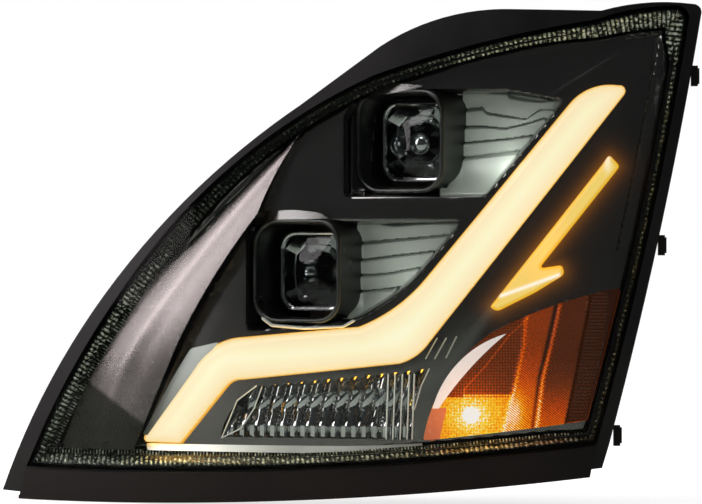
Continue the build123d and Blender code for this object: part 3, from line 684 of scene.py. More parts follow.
def softbox(name, side_deg, up_deg, far, width, height, radiance, colour=(1, 1, 1), centre=(0, -0.2, 0.03)):
    """A rectangular studio light that faces the lamp."""
    data = bpy.data.lights.new(name, "AREA")
    data.shape = "RECTANGLE"
    data.size, data.size_y = width, height
    data.energy = radiance * math.pi * width * height
    data.color = colour
    light = bpy.data.objects.new(name, data)
    way = face_direction(side_deg, up_deg)
    light.location = np.array(centre) + way * far
    light.rotation_euler = Vector(way).to_track_quat("Z", "Y").to_euler()
    light.visible_camera = False
    bpy.context.scene.collection.objects.link(light)
    return light


def glow_lamp(name, u, z, t, power, colour):
    """The spill of a lit piece on the parts round it."""
    data = bpy.data.lights.new(name, "POINT")
    data.energy = power
    data.shadow_soft_size = 0.012
    data.color = colour
    light = bpy.data.objects.new(name, data)
    light.location = behind_lens(np.array(float(u)), np.array(float(z)), t)
    light.visible_camera = False
    light.visible_glossy = False
    bpy.context.scene.collection.objects.link(light)


def build_lights():
    """A wide box at the lamp's outer side, a key box, a high box in front and the lit pieces' spills."""
    softbox("side_box", 88, 20, 1.8, 2.2, 1.2, 3.4, WARM_BOX)
    softbox("key_box", 48, 52, 1.5, 1.0, 0.6, 4.5, KEY_TINT)
    softbox("front_box", 5, 68, 1.5, 0.8, 0.4, 1.6, COOL_BOX)
    glow_lamp("accent_glow", 96, 34, 6.0, 0.05, AMBER_SPILL)
    glow_lamp("turn_glow", 30, -112, 4.0, 0.06, AMBER_SPILL)
    glow_lamp("high_cove_spill", 62, 112, 30.0, 0.09, WHITE_SPILL)
    glow_lamp("low_cove_spill", -26, 2, 30.0, 0.09, WHITE_SPILL)
    glow_lamp("parking_spill", -110, -100, 14.0, 0.04, WHITE_SPILL)


def build_camera():
    """The camera: level, far away and turned with the lamp's face."""
    data = bpy.data.cameras.new("camera")
    data.lens, data.sensor_width = 288.0, 36.0
    data.clip_start, data.clip_end = 0.1, 50.0
    camera = bpy.data.objects.new("camera", data)
    camera.location = (2.348, -4.584, 0.034)
    camera.rotation_euler = (math.radians(90), 0, FACE_TURN)
    bpy.context.scene.collection.objects.link(camera)
    bpy.context.scene.camera = camera
    bpy.context.scene.view_settings.view_transform = "Standard"


# ---- bezel ----------------------------------------------------------------------------------------
def border_width(u, z):
    """How wide the lens's fluted border is: broad down the swept side, slim at the inner side."""
    left = 1 - smooth(-260, -120, u + 0.2 * z)
    bottom = 1 - smooth(-140, -110, z)
    right = smooth(120, 165, u - 0.2 * z)
    corner = smooth(70, 190, u) * smooth(195, 235, z)
    return 10.5 + 6.5 * left + 2.0 * bottom * (1 - left) - 3.0 * right * (1 - corner) + 7.0 * corner


def blade_left(z):
    """The swept blade's left edge at height z, as a smooth curve through a few of its points."""
    heights = np.array([-148, -84, -26, 35, 75, 143])
    places = np.array([-341, -316, -286, -229, -188, -121])
    return np.polyval(np.polyfit(heights / 100, places, 3), z / 100)


def in_bezel(u, z):
    """Positive inside the bezel's outline."""
    return distance(u, z, LENS) - border_width(u, z)


def bezel_depth(u, z):
    """The bezel's surface: pockets for the lamps, a swell beside the light bar and folded panels."""
    t = np.full(np.shape(u), BEZEL_DEPTH)
    edge = in_bezel(u, z)
    t += BEZEL_ROLL * (1 - smooth(0, 4, edge))
    bar = -distance(u, z, LIGHT_BAR)
    swell = 1.2 * (1 - smooth(3, 34, bar)) + 0.5
    t -= 0.8 + swell * smooth(-150, -90, u) * (1 - smooth(20, 34, bar))
    low, high = distance(u, z, LOW_RECESS), distance(u, z, HIGH_RECESS)
    outside_blade = -distance(u, z, SWEEP)
    left_of_blade = smooth(2, 8, blade_left(z) - u + 6) * smooth(-20, 40, z)
    t += 12.0 * (1 - np.clip(outside_blade / 16, 0, 1)) * left_of_blade
    t += BLADE_SINK * smooth(0.5, 3.0, -outside_blade)
    for brow in (LOW_BROW, HIGH_BROW):
        t = np.where(distance(u, z, brow) > 0.6, BROW_SLOT_DEPTH, t)
    panel = smooth(-6, 6, (u - 118) - 0.28 * (z - 60)) * smooth(20, 40, z)
    inner = np.minimum(distance(u, z, LENS) - 22, 0.94 * (u - 60) - 0.34 * z)
    t += 1.3 * np.exp(-((inner / 1.4) ** 2)) * panel
    fold = (z - 150) - 0.62 * (u - 60)
    t += 0.7 * smooth(-1.5, 1.5, fold) * smooth(30, 60, u) * smooth(150, 175, z)
    fold = (z - 196) - 0.18 * u
    t -= 0.8 * smooth(-2, 2, fold) * (1 - smooth(120, 150, u)) * smooth(-60, -20, u)
    t += (POCKET_DEPTH - BEZEL_DEPTH) * smooth(0, 7, np.maximum(low, high))
    return t


def shroud_hollow(points):
    """True inside either lamp's shroud."""
    inside = np.zeros(len(points), bool)
    for lamp in (LOW_LAMP, HIGH_LAMP):
        x = np.abs(points[:, 0] / MM - lamp["x"]) - (SHROUD_W / 2 - SHROUD_WALL)
        z = np.abs(points[:, 2] / MM - lamp["z"]) - (SHROUD_H / 2 - SHROUD_WALL)
        inside |= (x < 0) & (z < 0)
    return inside


def line_piece(name, points, width, t, material, painted_light, slot="louvre_grey"):
    """A narrow moulded rib along a run of points, rounded across its top, with one painted light level over
    the whole rib.
    """
    run = np.array(points, float)

    def inside(u, z):
        nearest = np.full(np.shape(u), 1e9)
        for a, b in zip(run, run[1:]):
            way = b - a
            k = np.clip(((u - a[0]) * way[0] + (z - a[1]) * way[1]) / (way @ way), 0, 1)
            nearest = np.minimum(nearest, np.hypot(u - a[0] - k * way[0], z - a[1] - k * way[1]))
        return width / 2 - nearest

    rounded = lambda u, z: t + 0.5 * width * (1 - np.sqrt(np.clip(2 * inside(u, z) / width, 0, 1)))
    low, high = run.min(axis=0) - width, run.max(axis=0) + width
    # Painted light: one fixed highlight or shade level for the whole rib.
    level = {"painted_light": lambda u, z: painted_light + 0.0 * u}
    box = (low[0], low[1], high[0], high[1])
    return field_piece(name, inside, rounded, box, material, max(0.45, width / 4), 1.5, level, slot=slot)


def build_bezel(black):
    """The main bezel panel, open where the lit pieces come through it, with a painted amber glow round the
    accent guide.
    """

    def body(u, z):
        cut = np.maximum(distance(u, z, TURN) - 1.5, distance(u, z, PARKING) - 1.5)
        cut = np.maximum(cut, distance(u, z, LIGHT_BAR) - 2.0)
        return np.minimum(in_bezel(u, z), -cut)

    # Painted amber glow: strongest at the accent guide's edge, fading over about 5.5 mm across the bezel.
    def spill(u, z):
        return np.exp(-np.clip(-distance(u, z, ACCENT), 0, 99) / 5.5)

    box = (-372, -162, 224, 252)
    bezel = field_piece(
        "bezel_panel", body, bezel_depth, box, black, step=1.5, skirt=5.0, facts={"spill": spill},
        drop=shroud_hollow, slot="bezel_black",
    )
    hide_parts("inner_bezel")


def build_blade(satin):
    """The swept satin blade: creased along its length, with a painted highlight on the crease, painted sheen
    either side of it and painted shade at its lower end.
    """

    def blade(u, z):
        return np.minimum(distance(u, z, SWEEP), in_bezel(u, z) - 0.4)

    def from_crease(u, z):
        return u - blade_left(z) - 0.48 * np.interp(z, (-148, -84, 30, 143), (72, 62, 40, 0))

    def blade_depth(u, z):
        ridge = 1.0 * (1 - np.abs(np.clip(from_crease(u, z) / 14.0, -1, 1)))
        slope = 0.11 + 0.17 * smooth(-110, 90, z)
        return 24.0 - slope * (u - blade_left(z)) - ridge

    # Painted light: a painted highlight along the crease, lighter and darker painted sheen to its right, and
    # a painted dark lower end where the reflection stops.
    def blade_painted_light(u, z):
        off = from_crease(u, z)
        painted_light = 0.62 + 0.38 * np.exp(-((off / 4.0) ** 2))
        painted_light = painted_light + 0.16 * smooth(2, 14, off) - 0.3 * smooth(14, 34, off)
        below = -0.585 * (u + 312) - 0.81 * (z + 85)
        return painted_light * (1 - 0.85 * smooth(-2, 2.5, below))

    field_piece(
        "sweep_blade", blade, blade_depth, (-345, -150, -115, 148), satin, 1.5, 9.0,
        {"painted_light": blade_painted_light}, slot="bezel_black",
    )


def build_trims(black, lit):
    """The bar's grey flank, the ledge under it, the low lamp's lip, the brows and three small ribs; the
    flank, ledge, lip and ribs carry painted light: painted sheen on the flank, a painted reflection on the
    ledge and a painted highlight on the lip.
    """
    side = lambda u, z: distance(u, z, BAR_FLANK)
    flank_depth = lambda u, z: 24.6 + 0.08 * np.clip(-distance(u, z, LIGHT_BAR), 0, 16)
    # Painted sheen on the flank: lighter towards the top.
    field_piece(
        "bar_flank", side, flank_depth, (-270, -134, -192, -42), lit, 1.4, 6.0,
        {"painted_light": lambda u, z: 0.12 + 0.34 * smooth(-134, -55, z)}, slot="louvre_grey",
    )

    low = lambda u, z: distance(u, z, LEDGE)
    ledge_depth = lambda u, z: 31.0 - 0.5 * np.clip(-134 - z, 0, 12)
    # Painted reflection of the light bar on the ledge: brightest at its left end, fading to the right.
    field_piece(
        "lit_ledge", low, ledge_depth, (-264, -146, -14, -130), lit, 1.2, 4.0,
        {"painted_light": lambda u, z: 1.0 - 0.72 * smooth(-232, -120, u)}, slot="louvre_grey",
    )
    # Painted highlight on the lip: a fixed mid level of the painted light ramp.
    line_piece("lamp_lip", LAMP_LIP, 3.0, 26.4, lit, 0.5)

    for name, brow, right, lean, box in (
        ("low_brow", LOW_BROW, -96, 0.24, (-174, 55, -95, 74)),
        ("high_brow", HIGH_BROW, -12, 0.36, (-80, 166, -12, 186)),
    ):
        over = lambda u, z: distance(u, z, brow)
        fall = lambda u, z: 18.0 + lean * (right - u)
        field_piece(name, over, fall, box, black, 1.2, 3.0, slot="bezel_black")

    # Painted light: the slash ribs take a low fixed level of the painted light ramp.
    for k, (top, foot) in enumerate(SLASHES):
        line_piece("slash_rib_%d" % k, (top, foot), 1.4, 27.0, lit, 0.3)


def build_border(flute):
    """The lens's moulded border, seen as rows of small optical blocks round the bezel, with a painted glint
    level that changes round it.
    """
    shape = LENS
    lengths = np.hypot(*(np.roll(shape, -1, axis=0) - shape).T)
    along = np.concatenate([[0], np.cumsum(lengths)])
    closed = np.vstack([shape, shape[:1]])

    def arc_place(u, z):
        """How far round the outline the nearest point lies."""
        found = np.empty(np.size(u))
        flat = np.stack([np.ravel(u), np.ravel(z)], axis=1)
        way = np.diff(closed, axis=0)
        for at in range(0, len(flat), 6000):
            p = flat[at : at + 6000, None, :]
            k = np.clip(((p - closed[None, :-1]) * way).sum(axis=2) / (way**2).sum(axis=1), 0, 1)
            away = ((p - closed[None, :-1] - k[..., None] * way) ** 2).sum(axis=2)
            best = away.argmin(axis=1)
            rows = np.arange(len(best))
            found[at : at + 6000] = along[best] + k[rows, best] * lengths[best]
        return found.reshape(np.shape(u))

    def ring(u, z):
        d = distance(u, z, LENS)
        return np.minimum(d - SEAL_WIDTH, border_width(u, z) + 0.6 - d)

    def depth(u, z):
        d = distance(u, z, LENS)
        across = (d - SEAL_WIDTH) / (border_width(u, z) - SEAL_WIDTH)
        place = arc_place(u, z)
        block = np.abs(((place / 4.4) % 1.0) * 2 - 1)
        fine = np.abs(((place / 2.9 + 0.5 * (across > 0.5)) % 1.0) * 2 - 1)
        lobes = np.where(across < 0.6, block, fine)
        row = np.abs(((across / 0.6) % 1.0) * 2 - 1)
        return 14.0 + 15.0 * smooth(0, 1, across) - 2.2 * smooth(0.1, 0.7, lobes) * (1 - row**2)

    def top(u, z):
        return smooth(60, 120, z - 0.3 * u)

    # Painted glints: brighter along the top towards the right, dimmer down the right side and at the bottom.
    def painted_glint(u, z):
        right = smooth(130, 170, u - 0.2 * z) * (1 - smooth(215, 235, z))
        along_top = 0.3 + 0.75 * smooth(-60, 90, u)
        elsewhere = (1 - 0.25 * smooth(-110, -140, z)) * (1 - 0.6 * right)
        return (1 - top(u, z)) * elsewhere + top(u, z) * along_top

    facts = {
        "place": arc_place,
        "across": lambda u, z: (distance(u, z, LENS) - SEAL_WIDTH) / border_width(u, z),
        "split": lambda u, z: 0.52 + 0.42 * top(u, z),
        "painted_glint": painted_glint,
    }
    box = (-372, -162, 224, 252)
    field_piece("lens_border", ring, depth, box, flute, 1.1, facts=facts, slot="clear_lens")


# ---- lit pieces -----------------------------------------------------------------------------------
def build_light_bar(material):
    """The milky light bar with its crowned face."""
    inside = lambda u, z: distance(u, z, LIGHT_BAR)

    def depth(u, z):
        d = np.clip(inside(u, z), 0, 40)
        return BAR_DEPTH + 5.0 * (1 - np.minimum(d / 8.0, 1)) ** 2 - 1.2 * smooth(8, 20, d)

    bar = field_piece(
        "bar_cover", inside, depth, (-266, -139, 168, 184), material, 1.4, 4.0,
        {"edge": inside}, slot="light_bar_white",
    )
    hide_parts("light_bar_diffuser")


def build_accent(material):
    """The amber light guide: a tapered blade with a hooked foot and a white core line."""
    inside = lambda u, z: distance(u, z, ACCENT)

    def core(u, z):
        foot = (z + 1.5) - 0.36 * (u - 62)
        in_foot = np.exp(-((foot / 1.7) ** 2)) * smooth(50, 54, u) * (1 - smooth(104, 107, u))
        stem = 0.94 * ((u - 62) - 0.79 * (z - 13))
        in_stem = 0.45 * np.exp(-((stem / 0.7) ** 2)) * smooth(10, 24, z)
        tip = 0.6 * smooth(100, 112, z) * np.exp(-(((u - 148) / 3.0) ** 2))
        return np.clip(in_foot + in_stem + tip, 0, 1)

    def depth(u, z):
        d = np.clip(inside(u, z), 0, 12)
        return 25.0 + 5.0 * (1 - np.minimum(d / 5.0, 1)) ** 2 - 1.2 * core(u, z)

    guide = field_piece(
        "accent_cover", inside, depth, (40, -21, 162, 123), material, 0.9, 5.0,
        {"edge": inside, "core": core}, slot="accent_amber",
    )
    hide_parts("accent_guide")


DIVIDERS = (
    ((-128, -94, -49, -25), (55, 63, 73, 75)),
    ((-122, -77, -49, -13), (85, 91, 98, 106)),
    ((-120, -77, -45, -10), (109, 118, 124, 131)),
    ((-116, -45, -9), (130, 144, 148)),
)
CRESCENT = outline(
    ((-7, -104), (10, -70), (58, -38)),
    ((58, -38), (26, -68.5), (-1.5, -104)),
    ((-1.5, -104), (-7, -104)),
)


def divider(k, z):
    """Where the k-th rib between the amber lens's zones stands at height z."""
    heights, places = DIVIDERS[k]
    return np.interp(z, heights, places)


def turn_zones(u, z):
    """The zone of the amber lens, from 0 at its rounded side to 4 at its far side."""
    return sum((u > divider(k, z)).astype(float) for k in range(4))


def bulb_halo(u, z, size):
    """1 at the turn bulb, falling off over that many millimetres."""
    return np.exp(-(np.hypot(u - BULB[0], 1.1 * (z - BULB[1])) / size) ** 2)


def turn_glow(u, z):
    """How brightly each place of the amber lens is lit."""
    zone = turn_zones(u, z)
    low = 1 - smooth(-128, -40, z)
    base = np.select(
        [zone == 0, zone == 1, zone == 2, zone == 3],
        [0.19 + 0.0 * u, 0.26 + 0.27 * low, 0.14 + 0.30 * low**2, 0.08 + 0.03 * low],
        0.05,
    )
    box = smooth(-94.5, -93.5, z)
    base = np.where((zone == 0), base * box + (1 - box) * 0.62, base)
    base = base + 0.14 * bulb_halo(u, z, 15) + 0.20 * bulb_halo(u, z, 36) * (zone < 3)
    flare = np.exp(-(((u - 66 - 0.15 * (z + 105)) / 7.0) ** 2) - ((z + 108) / 17.0) ** 2) * (zone == 1)
    base = base + 0.26 * flare
    jag = 0.9 * np.sin(1.7 * z) + 0.6 * np.sin(2.9 * z + 1.0)
    for k, (bright, wide) in enumerate(((0.46, 1.5), (0.42, 1.2), (-0.10, 1.0), (-0.06, 0.9))):
        away = u - divider(k, z) - (jag if k < 2 else 0)
        base = base + bright * np.exp(-((away / wide) ** 2)) * (0.45 + 0.55 * low)
    dark = u - divider(1, z) + 4.0
    base = base - 0.26 * np.exp(-((dark / 1.6) ** 2))
    arc_line = u - np.interp(z, (-87, -65, -39, -25), (19, 39, 59, 75)) - 2.0
    base = base + 0.16 * np.exp(-((arc_line / 0.8) ** 2)) * (z > -92)
    rim = distance(u, z, TURN)
    right = smooth(120, 135, u - 0.2 * z)
    base = base + (0.30 + 0.3 * right) * (1 - smooth(0.2, 2.2, rim)) * (0.35 + 0.65 * low + 0.4 * right)
    base = base + 0.40 * np.exp(-(((z + 92.6) / 1.1) ** 2)) * (zone == 0) * (u > 20)
    base = np.minimum(base, 0.9)
    return np.clip(np.maximum(base, 1.9 * bulb_halo(u, z, 12.5) ** 1.6), 0.02, 1.3)


def build_turn_lamp(amber, flank_white, facet):
    """The faceted amber corner with its bright rounded side."""
    inside = lambda u, z: distance(u, z, TURN)

    def depth(u, z):
        zone = turn_zones(u, z)
        t = 30.5 + 0.5 * (zone % 2)
        for k in range(3):
            away = u - divider(k, z)
            t = t - 1.6 * np.exp(-((away / 1.8) ** 2))
        grid = np.sin(2.5 * u) * np.sin(2.5 * z) * (zone == 0)
        ribs = np.sin(2.3 * u + 2.9 * z) * ((zone == 1) | (zone == 2))
        return t + 0.18 * grid + 0.15 * ribs + 1.5 * (1 - smooth(0, 2.5, inside(u, z)))

    facts = {
        "glow": turn_glow,
        "grid_zone": lambda u, z: (turn_zones(u, z) == 0) * (0.25 + 0.75 * smooth(-95, -92, z)),
        "slant_zone": lambda u, z: ((turn_zones(u, z) == 1) | (turn_zones(u, z) == 2)).astype(float),
        "level_zone": lambda u, z: (turn_zones(u, z) == 3).astype(float),
    }
    cover = field_piece(
        "turn_cover", inside, depth, (-19, -136, 160, 6), amber, 0.9, 4.0, facts, slot="turn_amber"
    )
    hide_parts("turn_lens", "marker_lens")

    crescent = lambda u, z: distance(u, z, CRESCENT)
    rise = lambda u, z: 29.0 - 0.10 * np.clip(distance(u, z, TURN), 0, 20)
    field_piece("turn_flank", crescent, rise, (-10, -104, 60, -34), flank_white, 0.9, 3.0, slot="turn_amber")

    corner = polygon((-16.5, -133), (-8, -104), (5.5, -103), (-1, -132), radius=1.5)
    small = lambda u, z: distance(u, z, corner)
    flat = lambda u, z: 29.3 + 0 * u
    field_piece("turn_corner_facet", small, flat, (-18, -135, 8, -101), facet, 1.0, 2.0, slot="turn_amber")


def build_parking_lamp(chrome, cover, rib):
    """The long clear window: a hollow fluted reflector drum behind vertical lens flutes."""
    inside = lambda u, z: distance(u, z, PARKING)

    def drum(u, z):
        top = np.interp(u, (-163, -8), (-84, -67))
        across = np.clip((z + 120) / (top + 120), -0.05, 1.0)
        segment = ((u - 0.25 * z) / 11.5) % 1.0
        pillow = 1 - (2 * segment - 1) ** 2
        middle = 46.0 + 6.0 * (2 * across - 1) ** 2 - 2.0 * pillow
        upper = 36.0 + 0.22 * (z - top) - 2.6 * pillow
        lower = 35.0 + 0.30 * (z + 108) - 3.2 * pillow
        t = np.where(across > 0.68, upper, np.where(across < 0.30, lower, middle))
        low = ((u / 9.0) % 1.0 - 0.5) * 2
        foot = 33.0 + 2.4 * (1 - low**2) - 0.5 * smooth(-132, -120, z)
        t = np.where(z < -120.5, foot, t)
        end = smooth(-176, -170, u - 0.55 * (z + 100))
        return np.where(end > 0.5, t, 33.0 + 0.16 * (z + 135))

    reflector = field_piece(
        "parking_drum", inside, drum, (-199, -135, -6, -64), chrome, 0.9, slot="reflector_bright"
    )
    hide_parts("parking_reflector")

    def flutes(u, z):
        t = 29.6 + 0 * u
        lines = np.abs(((u - 0.05 * z + 4.0) / 7.6) % 1.0 - 0.5) * 2
        right = smooth(-66, -60, u) * (1 - smooth(-30, -26, u))
        return t - 1.4 * smooth(0.72, 0.95, lines) * right

    over = lambda u, z: inside(u, z) + 0.5
    box = (-199, -135, -6, -64)
    front = field_piece("parking_cover", over, flutes, box, cover, 0.9, slot="parking_clear")
    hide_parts("parking_lens")

    # Painted highlights: the parking ribs and edges take bright fixed levels of the painted light ramp.
    for k, place in enumerate((-48.0, -42.0, -35.5, -29.5, -25.0)):
        line_piece("parking_rib_%d" % k, ((place + 2, -74), (place, -131)), 1.3, RIB_DEPTH, rib, 0.75)
    edges = (
        ((-194, -131.5), (-180, -98), (-163, -85)),
        ((-194, -131.5), (-177, -123), (-165, -105), (-158, -86)),
        ((-10, -69), (-17, -84), (-23, -105)),
    )
    for k, points in enumerate(edges):
        line_piece("parking_edge_%d" % k, points, 1.1, RIB_DEPTH, rib, 0.6)


# ---- lamps ----------------------------------------------------------------------------------------
HIGH_BLADES = (
    ((17, 60, 62, 90, 112), (179, 178, 174, 168, 171)),
    ((19, 38, 42, 76, 90, 110), (161, 163, 158, 152, 161, 161)),
    ((24, 40, 58, 76, 92, 106), (146, 146, 144, 148, 153, 150)),
    ((27, 60, 90), (132, 135, 139)),
    ((26, 50, 82), (119, 122, 126)),
)
LOW_BLADES = (
    ((-75, -55, -41, -14, 13), (62, 62, 59, 61, 61)),
    ((-71, -45, 12), (43, 45, 50)),
    ((-65, -43, 2), (28, 31, 36)),
    ((-64, -43, -2), (14, 16, 24)),
    ((-64, -45, -20), (0, 2, 6)),
)


def louvre_depth(u, z, blades, left, right, floor_z):
    """Stepped blades that lean out downwards, over a hollow cove that runs out to the light bar."""
    across = np.clip((u - left) / (right - left), 0, 1)
    t = 62.0 - 20.0 * across
    tops = [np.interp(u, line[0], line[1]) for line in blades]
    for high, low in zip(tops, tops[1:]):
        part = (high - z) / (high - low)
        here = (part >= 0) & (part < 1)
        lean = 6.0 * smooth(0.0, 0.22, part) - 1.5 * smooth(0.25, 1.0, part)
        t = t - np.where(here, lean * (1 - 0.35 * across), 0)
    below = np.clip((tops[-1] - z) / (tops[-1] - floor_z), 0, 1)
    cove = 5.0 * smooth(0, 0.12, below) + 20.0 * below**2
    return np.where(z < tops[-1], t - cove, t)


def build_louvres(silver):
    """The stepped grey panels between each lamp and the light bar."""
    rows = (
        ("high", HIGH_RECESS, HIGH_BLADES, 20, 100, 86, (0, 80, 114, 181)),
        ("low", LOW_RECESS, LOW_BLADES, -68, 8, -30, (-86, -40, 24, 64)),
    )
    for key, recess, blades, left, right, floor_z, box in rows:
        inside = lambda u, z: np.minimum(distance(u, z, recess) - 0.5, u - box[0])
        depth = lambda u, z: louvre_depth(u, z, blades, left, right, floor_z)
        panel = field_piece(
            key + "_louvre_panel", inside, depth, box, silver, 0.9,
            drop=shroud_hollow, slot="louvre_grey", sharp=25,
        )
        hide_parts(key + "_beam_louvre")


def build_shroud(lamp, black):
    """The rounded rectangular tube round a lamp, with a rolled rim."""
    loops = []
    rim, wall = lamp["rim"], SHROUD_WALL
    turns = [(0.0, rim + 62.0), (0.0, rim + 30.0), (0.0, rim + 4.0)]
    for angle in range(0, 181, 20):
        q = math.radians(angle)
        turns.append((wall / 2 * (1 - math.cos(q)), rim + 1.6 - 1.6 * math.sin(q)))
    turns += [(wall, rim + 6.0), (wall + 0.6, lamp["mouth"] - 2.0), (wall + 0.8, lamp["mouth"] + 6.0)]
    for inset, y in turns:
        size = (SHROUD_W - 2 * inset, SHROUD_H - 2 * inset, SHROUD_R - 0.6 * inset)
        loops.append(rounded_loop(lamp["x"], lamp["z"], *size, y))
    tube = loft(lamp["key"] + "_shroud_tube", loops, black, slot="shroud_black")
    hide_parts(lamp["key"] + "_beam_shroud")


def build_bowl(lamp, chrome):
    """The lamp's metallised bowl: large flat facets in rows from its mouth to the bulb's neck."""
    mouth, neck = lamp["mouth"] + 4.0, lamp["neck"] - 2.0
    base = rounded_loop(lamp["x"], lamp["z"], HOLDER_W - 9, HOLDER_H - 9, HOLDER_R - 4, mouth, 1, 3)
    centre = np.array([lamp["x"], 0, lamp["z"]]) * MM
    angles = np.arctan2(base[:, 2] - centre[2], base[:, 0] - centre[0])
    neck_r = BOWL_NECK_R * MM
    ring = np.stack([centre[0] + neck_r * np.cos(angles), 0 * angles, centre[2] + neck_r * np.sin(angles)], 1)
    loops = []
    profile = ((0.0, 0.0), (0.12, 1.2), (0.45, 4.6), (0.52, 5.0), (0.86, 9.0), (0.92, 12.0))
    profile += ((1.0, neck - mouth),)
    for wide, deep in profile:
        points = base * (1 - wide) + ring * wide
        points[:, 1] = (mouth + deep) * MM
        loops.append(points)
    bowl = loft(lamp["key"] + "_bowl", loops, chrome, body="carrier", slot="reflector_bright", sharp=6)
    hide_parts(lamp["key"] + "_beam_reflector")


def build_dome(lamp, chrome):
    """The small polished cap in front of the bulb."""
    low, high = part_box(lamp["key"] + "_bulb_shield")
    x, z = (low[0] + high[0]) / 2, (low[2] + high[2]) / 2
    radius = 0.48 * min(high[0] - low[0], high[2] - low[2])
    front, back = low[1], low[1] + 0.55 * radius
    loops = []
    for k in np.linspace(0, 1, 9):
        q = 0.5 * math.pi * k
        wide, y = radius * math.sin(q) + 0.0004, front + (back - front) * (1 - math.cos(q))
        angles = np.linspace(0, 2 * math.pi, 40, endpoint=False)
        loops.append(np.stack([x + wide * np.cos(angles), y + 0 * angles, z + wide * np.sin(angles)], 1))
    loops.append(loops[-1] + np.array([0, 0.25 * radius, 0]))
    loops.reverse()
    cap = loft(lamp["key"] + "_bulb_dome", loops, chrome, cap=True, body="carrier", slot="reflector_bright")
    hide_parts(lamp["key"] + "_bulb_shield")


def build_holder(lamp, chrome):
    """The bright ring that carries the inner glass."""
    loops = []
    mouth = lamp["mouth"]
    profile = ((0.0, 14.0), (0.0, 2.0), (0.7, 0.4), (1.8, 0.0))
    profile += ((3.0, 0.5), (3.6, 2.0), (4.4, 3.6), (5.4, 12.0))
    for inset, back in profile:
        size = (HOLDER_W - 2 * inset, HOLDER_H - 2 * inset, HOLDER_R - 0.5 * inset)
        loops.append(rounded_loop(lamp["x"], lamp["z"], *size, mouth + back))
    ring = loft(lamp["key"] + "_holder_ring", loops, chrome, body="carrier", slot="reflector_bright")
    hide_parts(lamp["key"] + "_beam_holder")


def build_glass(lamp, glass):
    """The lamp's inner glass: a crowned pane with bevelled edges."""
    loops = []
    for k in np.linspace(0, 1, 12):
        inset = 3.8 + 28.0 * k
        bulge = GLASS_CROWN * math.sin(0.5 * math.pi * min(1, k * 1.05))
        size = (HOLDER_W - 2 * inset, HOLDER_H - 2 * inset, max(1.2, (HOLDER_R - 3.0) * (1 - 0.75 * k)))
        loops.append(rounded_loop(lamp["x"], lamp["z"], *size, lamp["mouth"] + 2.6 - bulge))
    pane = loft(lamp["key"] + "_inner_glass", loops, glass, cap=True, body="carrier", slot="module_glass")
    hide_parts(lamp["key"] + "_beam_glass")


def build_lamps(look):
    """Both lamps from the same parts."""
    for lamp in (LOW_LAMP, HIGH_LAMP):
        build_shroud(lamp, look["shroud"])
        build_bowl(lamp, look["chrome"])
        build_dome(lamp, look["chrome"])
        build_holder(lamp, look["chrome"])
        build_glass(lamp, look["inner_glass"])


# ---- finishes -------------------------------------------------------------------------------------
# name, darkest and lightest colour, roughness, grain, grain strength, metallic, gleam, spill (the strength of
# a painted amber glow)
PLASTICS = {
    "housing": ("housing_black_pp", (13, 13, 14), (22, 21, 21), (0.36, 0.46), 700.0, 0.3, 0.0, 0.25),
    "trim": ("trim_black_grained", (14, 10, 8), (20, 14, 11), (0.5, 0.62), 800.0, 0.25, 0.0, 0.2),
    "bezel": ("bezel_smoked", (120, 121, 119), (128, 126, 124), (0.15, 0.19), 500.0, 0.01, 0.97, 0.5, 0.15),
    "shroud": ("shroud_smoked", (72, 74, 72), (80, 82, 80), (0.26, 0.34), 600.0, 0.06, 0.98),
    "silver": ("louvre_smoked", (148, 154, 146), (160, 166, 157), (0.3, 0.38), 600.0, 0.04, 0.3),
    "rubber": ("seal_rubber_black", (16, 16, 16), (25, 25, 25), (0.6, 0.75), 500.0, 0.35),
    "cap": ("cap_black_nylon", (22, 22, 24), (33, 33, 35), (0.4, 0.55), 650.0, 0.4),
    "carrier": ("carrier_glass_filled", (70, 70, 72), (88, 88, 90), (0.5, 0.65), 500.0, 0.5),
    "acetal": ("adjuster_acetal", (214, 212, 204), (228, 226, 220), (0.3, 0.4), 500.0, 0.1),
    "base": ("base_grey_nylon", (96, 96, 100), (112, 112, 116), (0.4, 0.5), 600.0, 0.3),
    "connector": ("connector_grey", (70, 70, 73), (84, 84, 88), (0.4, 0.5), 700.0, 0.25),
    "board": ("board_solder_mask", (20, 78, 44), (28, 92, 54), (0.3, 0.4), 400.0, 0.1),
    "tray": ("tray_white", (222, 222, 218), (234, 234, 230), (0.45, 0.55), 500.0, 0.1),
    "flank": ("turn_flank_bright", (236, 230, 230), (242, 238, 238), (0.2, 0.3), 400.0, 0.02),
    "facet": ("turn_corner_amber", (206, 120, 74), (190, 96, 60), (0.2, 0.3), 500.0, 0.2),
}


def make_looks():
    """Every material by its short name."""
    looks = {key: moulded(*row) for key, row in PLASTICS.items()}
    looks |= {
        "blade": painted_light_finish("blade_painted_sheen", (34, 38, 30), (144, 137, 136), (0.24, 0.29), 0.97),
        "ledge": painted_light_finish("ledge_painted_sheen", (40, 46, 42), (236, 242, 236), (0.3, 0.38), 0.3),
        "chrome": metal("reflector_metallised", srgb(226, 228, 228), (0.04, 0.09)),
        "flute": border_material(),
        "lens": clear_cover("lens_polycarbonate", (0.96, 0.97, 0.97, 1), 1.13, 0.02),
        "inner_glass": clear_cover("lamp_inner_glass", (0.93, 0.96, 0.96, 1), 1.45, 0.01),
        "parking": clear_cover("parking_clear", (0.94, 0.96, 0.96, 1), 1.35, 0.03),
        "quartz": clear_cover("bulb_quartz", (0.97, 0.96, 0.93, 1), 1.45, 0.02),
        "steel": metal("steel_zinc", srgb(182, 184, 190), (0.24, 0.38), brushed=900.0, strength=0.15),
        "alloy": metal("cooler_alloy", srgb(196, 198, 202), (0.35, 0.5), brushed=400.0, strength=0.3),
        "brass": metal("pins_brass", srgb(214, 178, 104), (0.2, 0.3)),
        "bar": bar_material(),
        "accent": accent_material(),
        "amber": amber_material(),
    }
    return looks


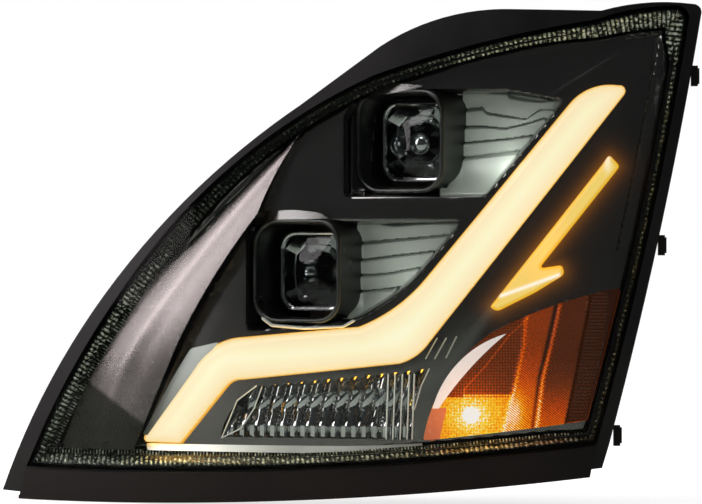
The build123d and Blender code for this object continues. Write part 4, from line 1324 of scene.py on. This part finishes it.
NODE_LOOKS = {
    "housing": ("rear_housing", "pivot_brackets"),
    "trim": ("lower_trim_strip", "retainer_tabs"),
    "bezel": ("inner_bezel", "driver_case"),
    "shroud": ("low_beam_shroud", "high_beam_shroud"),
    "silver": ("low_beam_louvre", "high_beam_louvre"),
    "chrome": (
        "turn_reflector", "parking_reflector", "low_beam_reflector", "high_beam_reflector",
        "low_beam_holder", "high_beam_holder", "low_bulb_shield", "high_bulb_shield",
    ),
    "lens": ("outer_lens",),
    "inner_glass": ("low_beam_glass", "high_beam_glass"),
    "parking": ("parking_lens",),
    "quartz": ("low_bulb_glass", "high_bulb_glass", "marker_bulb"),
    "rubber": (
        "lens_sealant", "turn_socket_seal", "marker_socket_seal", "low_bulb_seal", "high_bulb_seal",
        "low_beam_cap_seal", "high_beam_cap_seal",
    ),
    "cap": ("low_beam_cap", "high_beam_cap", "vent_caps"),
    "carrier": ("aim_carrier",),
    "acetal": ("adjuster_rod", "adjuster_nut"),
    "base": ("low_bulb_base", "high_bulb_base", "turn_socket", "marker_socket"),
    "connector": ("harness_connector",),
    "board": ("light_bar_board", "accent_board", "parking_board"),
    "tray": ("light_bar_channel",),
    "steel": ("mounting_studs", "driver_screws", "pivot_pins"),
    "alloy": ("driver_heatsink",),
    "brass": ("connector_pins",),
    "bar": ("light_bar_diffuser", "light_bar_leds"),
    "accent": ("accent_guide",),
    "amber": ("turn_lens", "marker_lens", "turn_bulb"),
}


def dress_nodes(looks):
    """Gives every CAD node its material."""
    for look, names in NODE_LOOKS.items():
        for name in names:
            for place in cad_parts[name].material_slots:
                place.material = looks[look]


def main():
    build_camera()
    build_stage(float(CAD_BOX[0][2]) - 0.0005)
    build_lights()
    looks = make_looks()
    dress_nodes(looks)
    build_bezel(looks["bezel"])
    build_blade(looks["blade"])
    build_trims(looks["bezel"], looks["ledge"])
    build_border(looks["flute"])
    build_light_bar(looks["bar"])
    build_accent(looks["accent"])
    build_turn_lamp(looks["amber"], looks["flank"], looks["facet"])
    build_parking_lamp(looks["chrome"], looks["parking"], looks["ledge"])
    build_louvres(looks["silver"])
    build_lamps(looks)


main()
